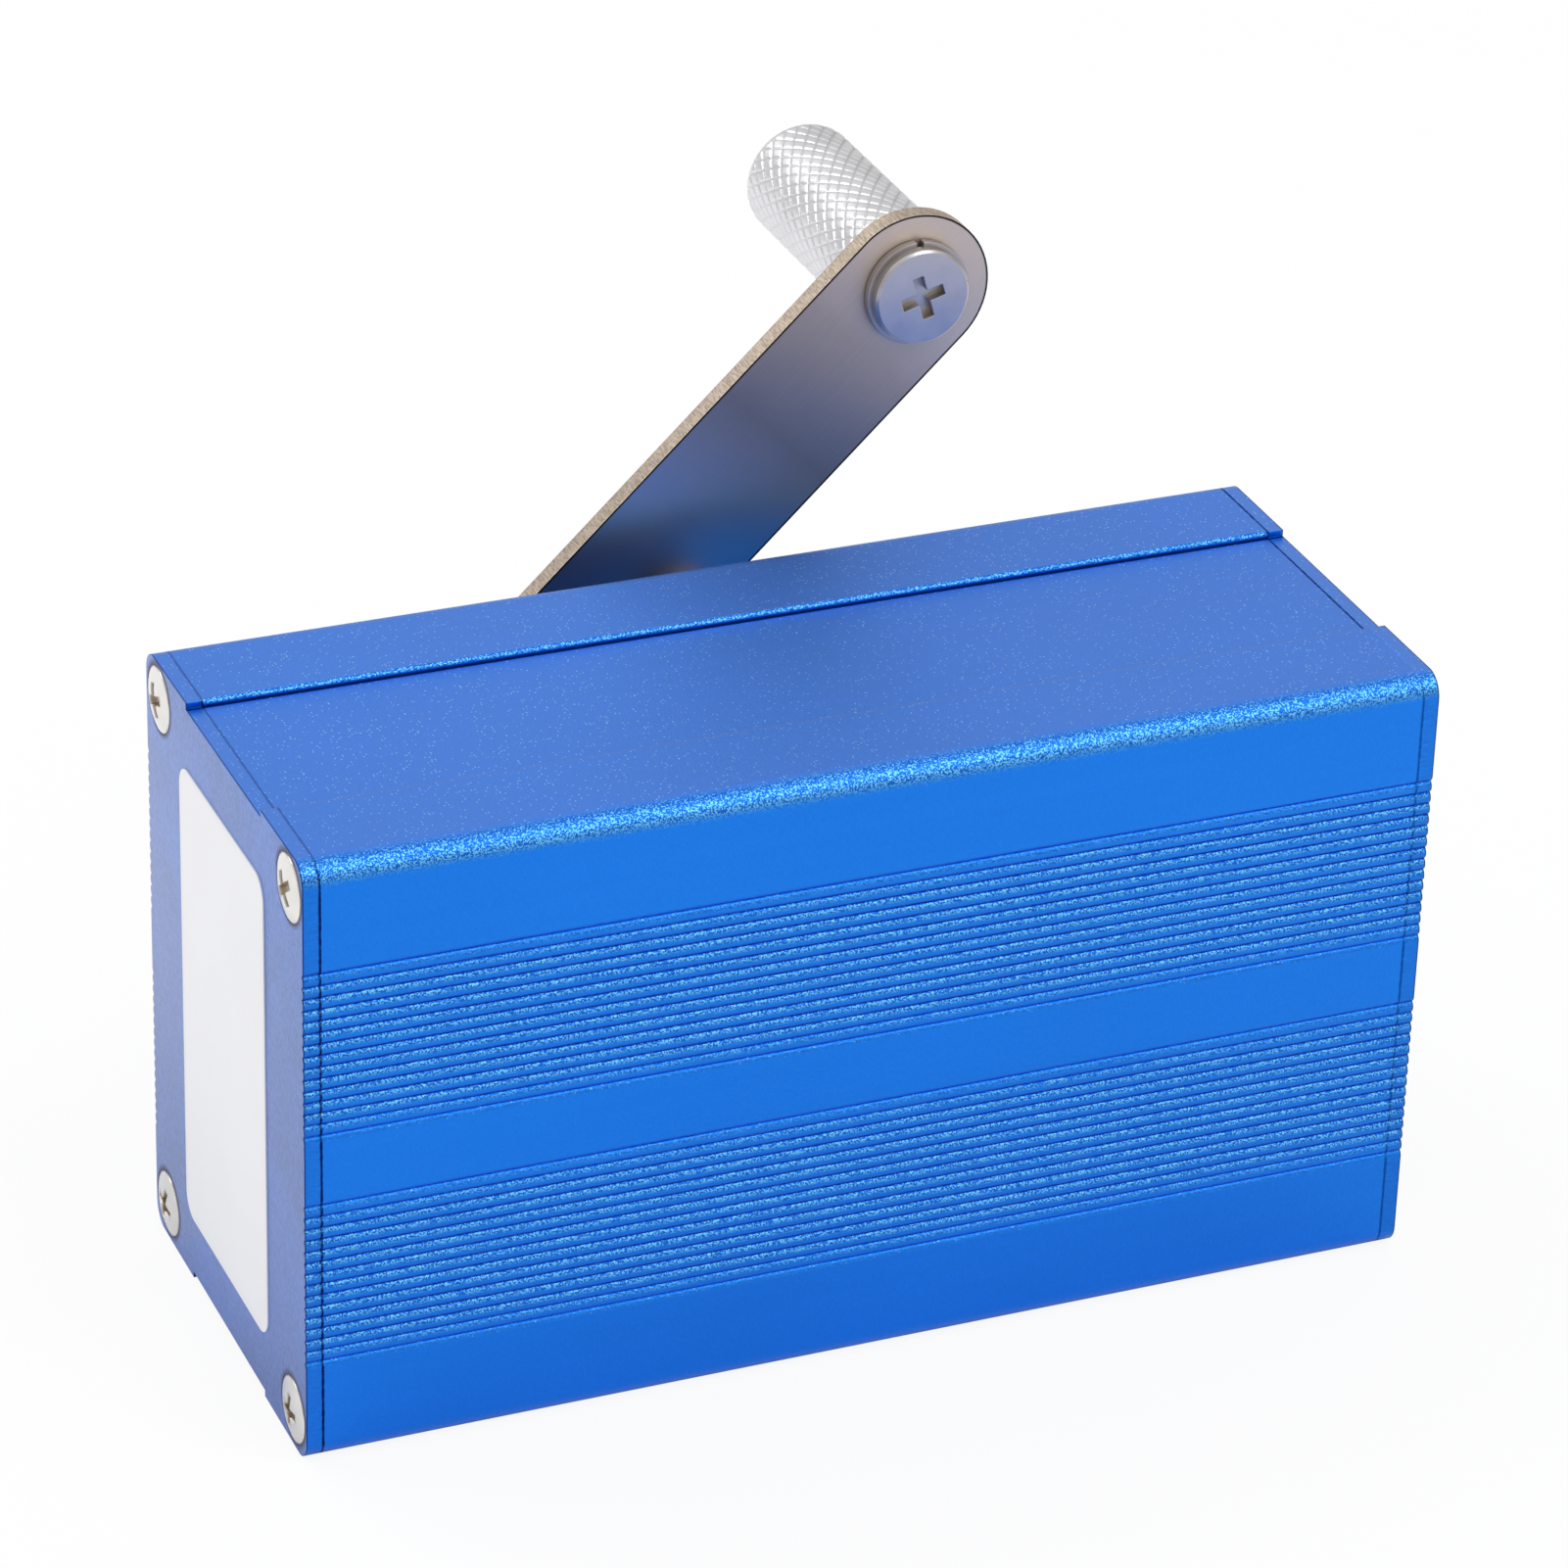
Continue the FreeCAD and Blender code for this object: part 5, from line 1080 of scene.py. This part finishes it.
@dataclass
class Crank(SubAssembly):
    """The arm with its shaft and fixings, and the knurled grip that spins on it."""

    nodes: tuple[str, ...] = (
        "crank_arm", "crank_arm_washer", "crank_arm_screw", "crank_shaft", "crank_bush",
        "crank_nose_bush", "grip_washer", "grip_screw")
    columns_per_start: int = 12
    mouth_chamfer: float = 0.3 * MM
    far_round: float = 1.4 * MM
    round_steps: int = 8
    spigot_radius: float = 3.0 * MM
    tapped_radius: float = 2.0 * MM
    grip_play: float = 0.1 * MM

    def build(self) -> list[bpy.types.Object]:
        """Make the grip with its real knurl."""
        knurl = self.palette.knurl
        low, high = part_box("crank_grip")
        tapped_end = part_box("grip_screw")[1].y
        start = knurl.start - self.mouth_chamfer
        columns = knurl.starts * self.columns_per_start
        rings = round((knurl.end - knurl.start) / (math.tau * knurl.radius / columns))
        outline = [Station(tapped_end, 0.0), Station(tapped_end, self.tapped_radius),
                   Station(low.y, self.tapped_radius), Station(low.y, self.spigot_radius),
                   Station(start, self.spigot_radius),
                   Station(start, knurl.radius - self.mouth_chamfer)]
        for ring in range(rings + 1):
            along = knurl.start + (knurl.end - knurl.start) * ring / rings
            outline.append(Station(along, knurl.radius, knurl.depth))
        for ring in range(1, self.round_steps + 1):
            turn = math.pi / 2 * ring / self.round_steps
            outline.append(Station(knurl.end + self.far_round * math.sin(turn),
                                   knurl.radius - self.far_round * (1.0 - math.cos(turn)),
                                   knurl.depth * max(0.0, 1.0 - turn)))
        outline.append(Station(high.y, 0.0))
        grip = turned_piece("knurled_grip", knurl.axis, outline, columns, knurl.relief)
        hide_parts("crank_grip")
        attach(grip, "grip")
        self.palette.dress(grip, "grip_aluminium")
        LOG.info("knurled_grip: %d faces", len(grip.data.polygons))
        return [grip]


@dataclass
class Gearbox(SubAssembly):
    """The frame between two plates and the train that speeds the crank up."""

    nodes: tuple[str, ...] = (
        "gearbox_rear_plate", "gearbox_front_plate", "gearbox_pillars",
        "gearbox_front_screws", "drive_gear", "drive_gear_pin", "first_idler_pinion",
        "first_idler_gear", "first_idler_shaft", "first_idler_bushes",
        "second_idler_pinion", "second_idler_gear", "second_idler_shaft",
        "second_idler_bushes")


@dataclass
class Generator(SubAssembly):
    """The can with its windings, and the rotor that spins in it."""

    nodes: tuple[str, ...] = (
        "generator_housing", "generator_end_cap", "generator_bearings",
        "generator_screws", "stator_core", "stator_coils", "rotor_shaft", "rotor_pinion",
        "rotor_core", "rotor_spacers", "rotor_magnets", "phase_leads", "lead_grommet")


@dataclass
class Electronics(SubAssembly):
    """The circuit board, what it carries and the USB socket."""

    nodes: tuple[str, ...] = (
        "circuit_board", "phase_terminal", "regulator_chip", "rectifier_diodes",
        "output_capacitors", "power_inductor", "status_led", "usb_socket",
        "usb_insulator", "usb_contacts")


# -------- studio
@dataclass
class Softbox:
    """A square lamp that looks at the object."""

    name: str
    toward: tuple[float, float, float]
    distance: float
    side: float
    watts: float

    def build(self, middle: Vector) -> None:
        """Hang the lamp in its direction from the object's middle."""
        lamp = bpy.data.lights.new(self.name, "AREA")
        lamp.shape = "SQUARE"
        lamp.size = self.side
        lamp.energy = self.watts
        item = placed(self.name, lamp)
        back = Vector(self.toward).normalized()
        item.location = middle + back * self.distance
        item.rotation_mode = "QUATERNION"
        item.rotation_quaternion = (-back).to_track_quat("-Z", "Y")


@dataclass
class Studio:
    """The pale floor, soft light and camera round the generator."""

    azimuth: float = math.radians(-23.047)
    elevation: float = math.radians(28.11)
    roll: float = math.radians(1.794)
    distance: float = 604.256 * MM
    aim_from_case: tuple[float, float, float] = (-0.63 * MM, 0.0, 18.195 * MM)
    lens: float = 149.82
    sensor: float = 36.0
    floor_side: float = 8.0
    floor_colour: Colour = (0.92, 0.92, 0.93)
    floor_white: float = 0.9
    floor_gloss_white: float = 0.05
    paper_grain: float = 40 * MM
    paper_dull: float = 0.99
    world_light: float = 0.79
    horizon_gloss: float = 0.6
    sky_edge: Ramp = (0.3, 0.7)
    softboxes: tuple[Softbox, ...] = (
        Softbox("key_softbox", (0.35, -0.47, 0.81), 1.1, 0.5, 2.6),
        Softbox("back_softbox", (-0.45, 0.55, 0.75), 1.2, 0.7, 3.2),
    )

    def build(self) -> None:
        """Set up the view, the light and the floor."""
        bpy.context.scene.view_settings.view_transform = "Standard"
        low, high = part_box("front_shell")
        rear_low, rear_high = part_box("rear_shell")
        middle = (Vector(map(min, low, rear_low)) + Vector(map(max, high, rear_high))) / 2
        self.build_camera(middle + Vector(self.aim_from_case))
        for softbox in self.softboxes:
            softbox.build(middle)
        self.build_world()
        self.build_floor()

    def build_camera(self, aim: Vector) -> None:
        """Stand the camera back from the point that it looks at."""
        back = Vector((math.sin(self.azimuth) * math.cos(self.elevation),
                       -math.cos(self.azimuth) * math.cos(self.elevation),
                       math.sin(self.elevation)))
        level_right = Vector((math.cos(self.azimuth), math.sin(self.azimuth), 0.0))
        level_up = back.cross(level_right)
        right = level_right * math.cos(self.roll) + level_up * math.sin(self.roll)
        up = level_up * math.cos(self.roll) - level_right * math.sin(self.roll)
        camera = placed("camera", bpy.data.cameras.new("camera"))
        camera.data.lens = self.lens
        camera.data.sensor_width = self.sensor
        camera.matrix_world = (Matrix.Translation(aim + back * self.distance)
                               @ Matrix((right, up, back)).transposed().to_4x4())
        bpy.context.scene.camera = camera

    @staticmethod
    def _rays(graph: Graph) -> tuple[Signal, Signal]:
        """Give 1 for rays from the eye or through glass, and 1 for glossy rays."""
        eye, glass, gloss = (graph.node("ShaderNodeLightPath", output=name) for name in
                             ("Is Camera Ray", "Is Transmission Ray", "Is Glossy Ray"))
        return eye.at_least(glass), gloss

    def build_world(self) -> None:
        """Light the scene evenly, show white behind it and a paler zenith in metal."""
        world = bpy.data.worlds.new("studio")
        bpy.context.scene.world = world
        graph = Graph(world)
        seen, gloss = self._rays(graph)
        height = graph.axes(graph.place("Generated"))[2]
        sky = height.above(*self.sky_edge)
        sky = sky * (1.0 - self.horizon_gloss) + self.horizon_gloss
        mirrored = gloss * (sky - self.world_light) + self.world_light
        strength = seen * (1.0 - mirrored) + mirrored
        light = graph.node("ShaderNodeBackground", {}, {"Color": WHITE,
                                                        "Strength": strength})
        graph.node("ShaderNodeOutputWorld", {}, {"Surface": light})

    def build_floor(self) -> None:
        """Lay a white floor that keeps a light shadow."""
        half = self.floor_side / 2
        mesh = bpy.data.meshes.new("floor")
        mesh.from_pydata([(-half, -half, 0.0), (half, -half, 0.0), (half, half, 0.0),
                          (-half, half, 0.0)], [], [(0, 1, 2, 3)])
        floor = placed("floor", mesh)
        material = bpy.data.materials.new("floor_paper")
        graph = Graph(material)
        paper = graph.noise(graph.place(), self.paper_grain, FINE)
        painted_shade = scaled(self.floor_colour, self.paper_dull)
        matt = graph.node("ShaderNodeBsdfDiffuse", {}, {
            "Color": graph.mix(paper, painted_shade, self.floor_colour)})
        white = graph.node("ShaderNodeEmission", {}, {"Color": WHITE, "Strength": 1.0})
        seen, gloss = self._rays(graph)
        share = seen * self.floor_white + gloss * self.floor_gloss_white
        mixed = graph.node("ShaderNodeMixShader", {}, {0: share, 1: matt, 2: white})
        graph.node("ShaderNodeOutputMaterial", {}, {"Surface": mixed})
        mesh.materials.append(material)


def main() -> None:
    """Load the frame, build and dress every sub-assembly, and set up the studio."""
    logging.basicConfig(level=logging.INFO, format="%(name)s %(message)s")
    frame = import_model()
    palette = Palette(frame)
    Studio().build()
    for kind in (Case, Crank, Gearbox, Generator, Electronics):
        part = kind(frame, palette)
        built = part.build()
        part.dress()
        LOG.info("%s: %d built, %d kept", kind.__name__, len(built), len(part.nodes))


if __name__ == "__main__":
    main()
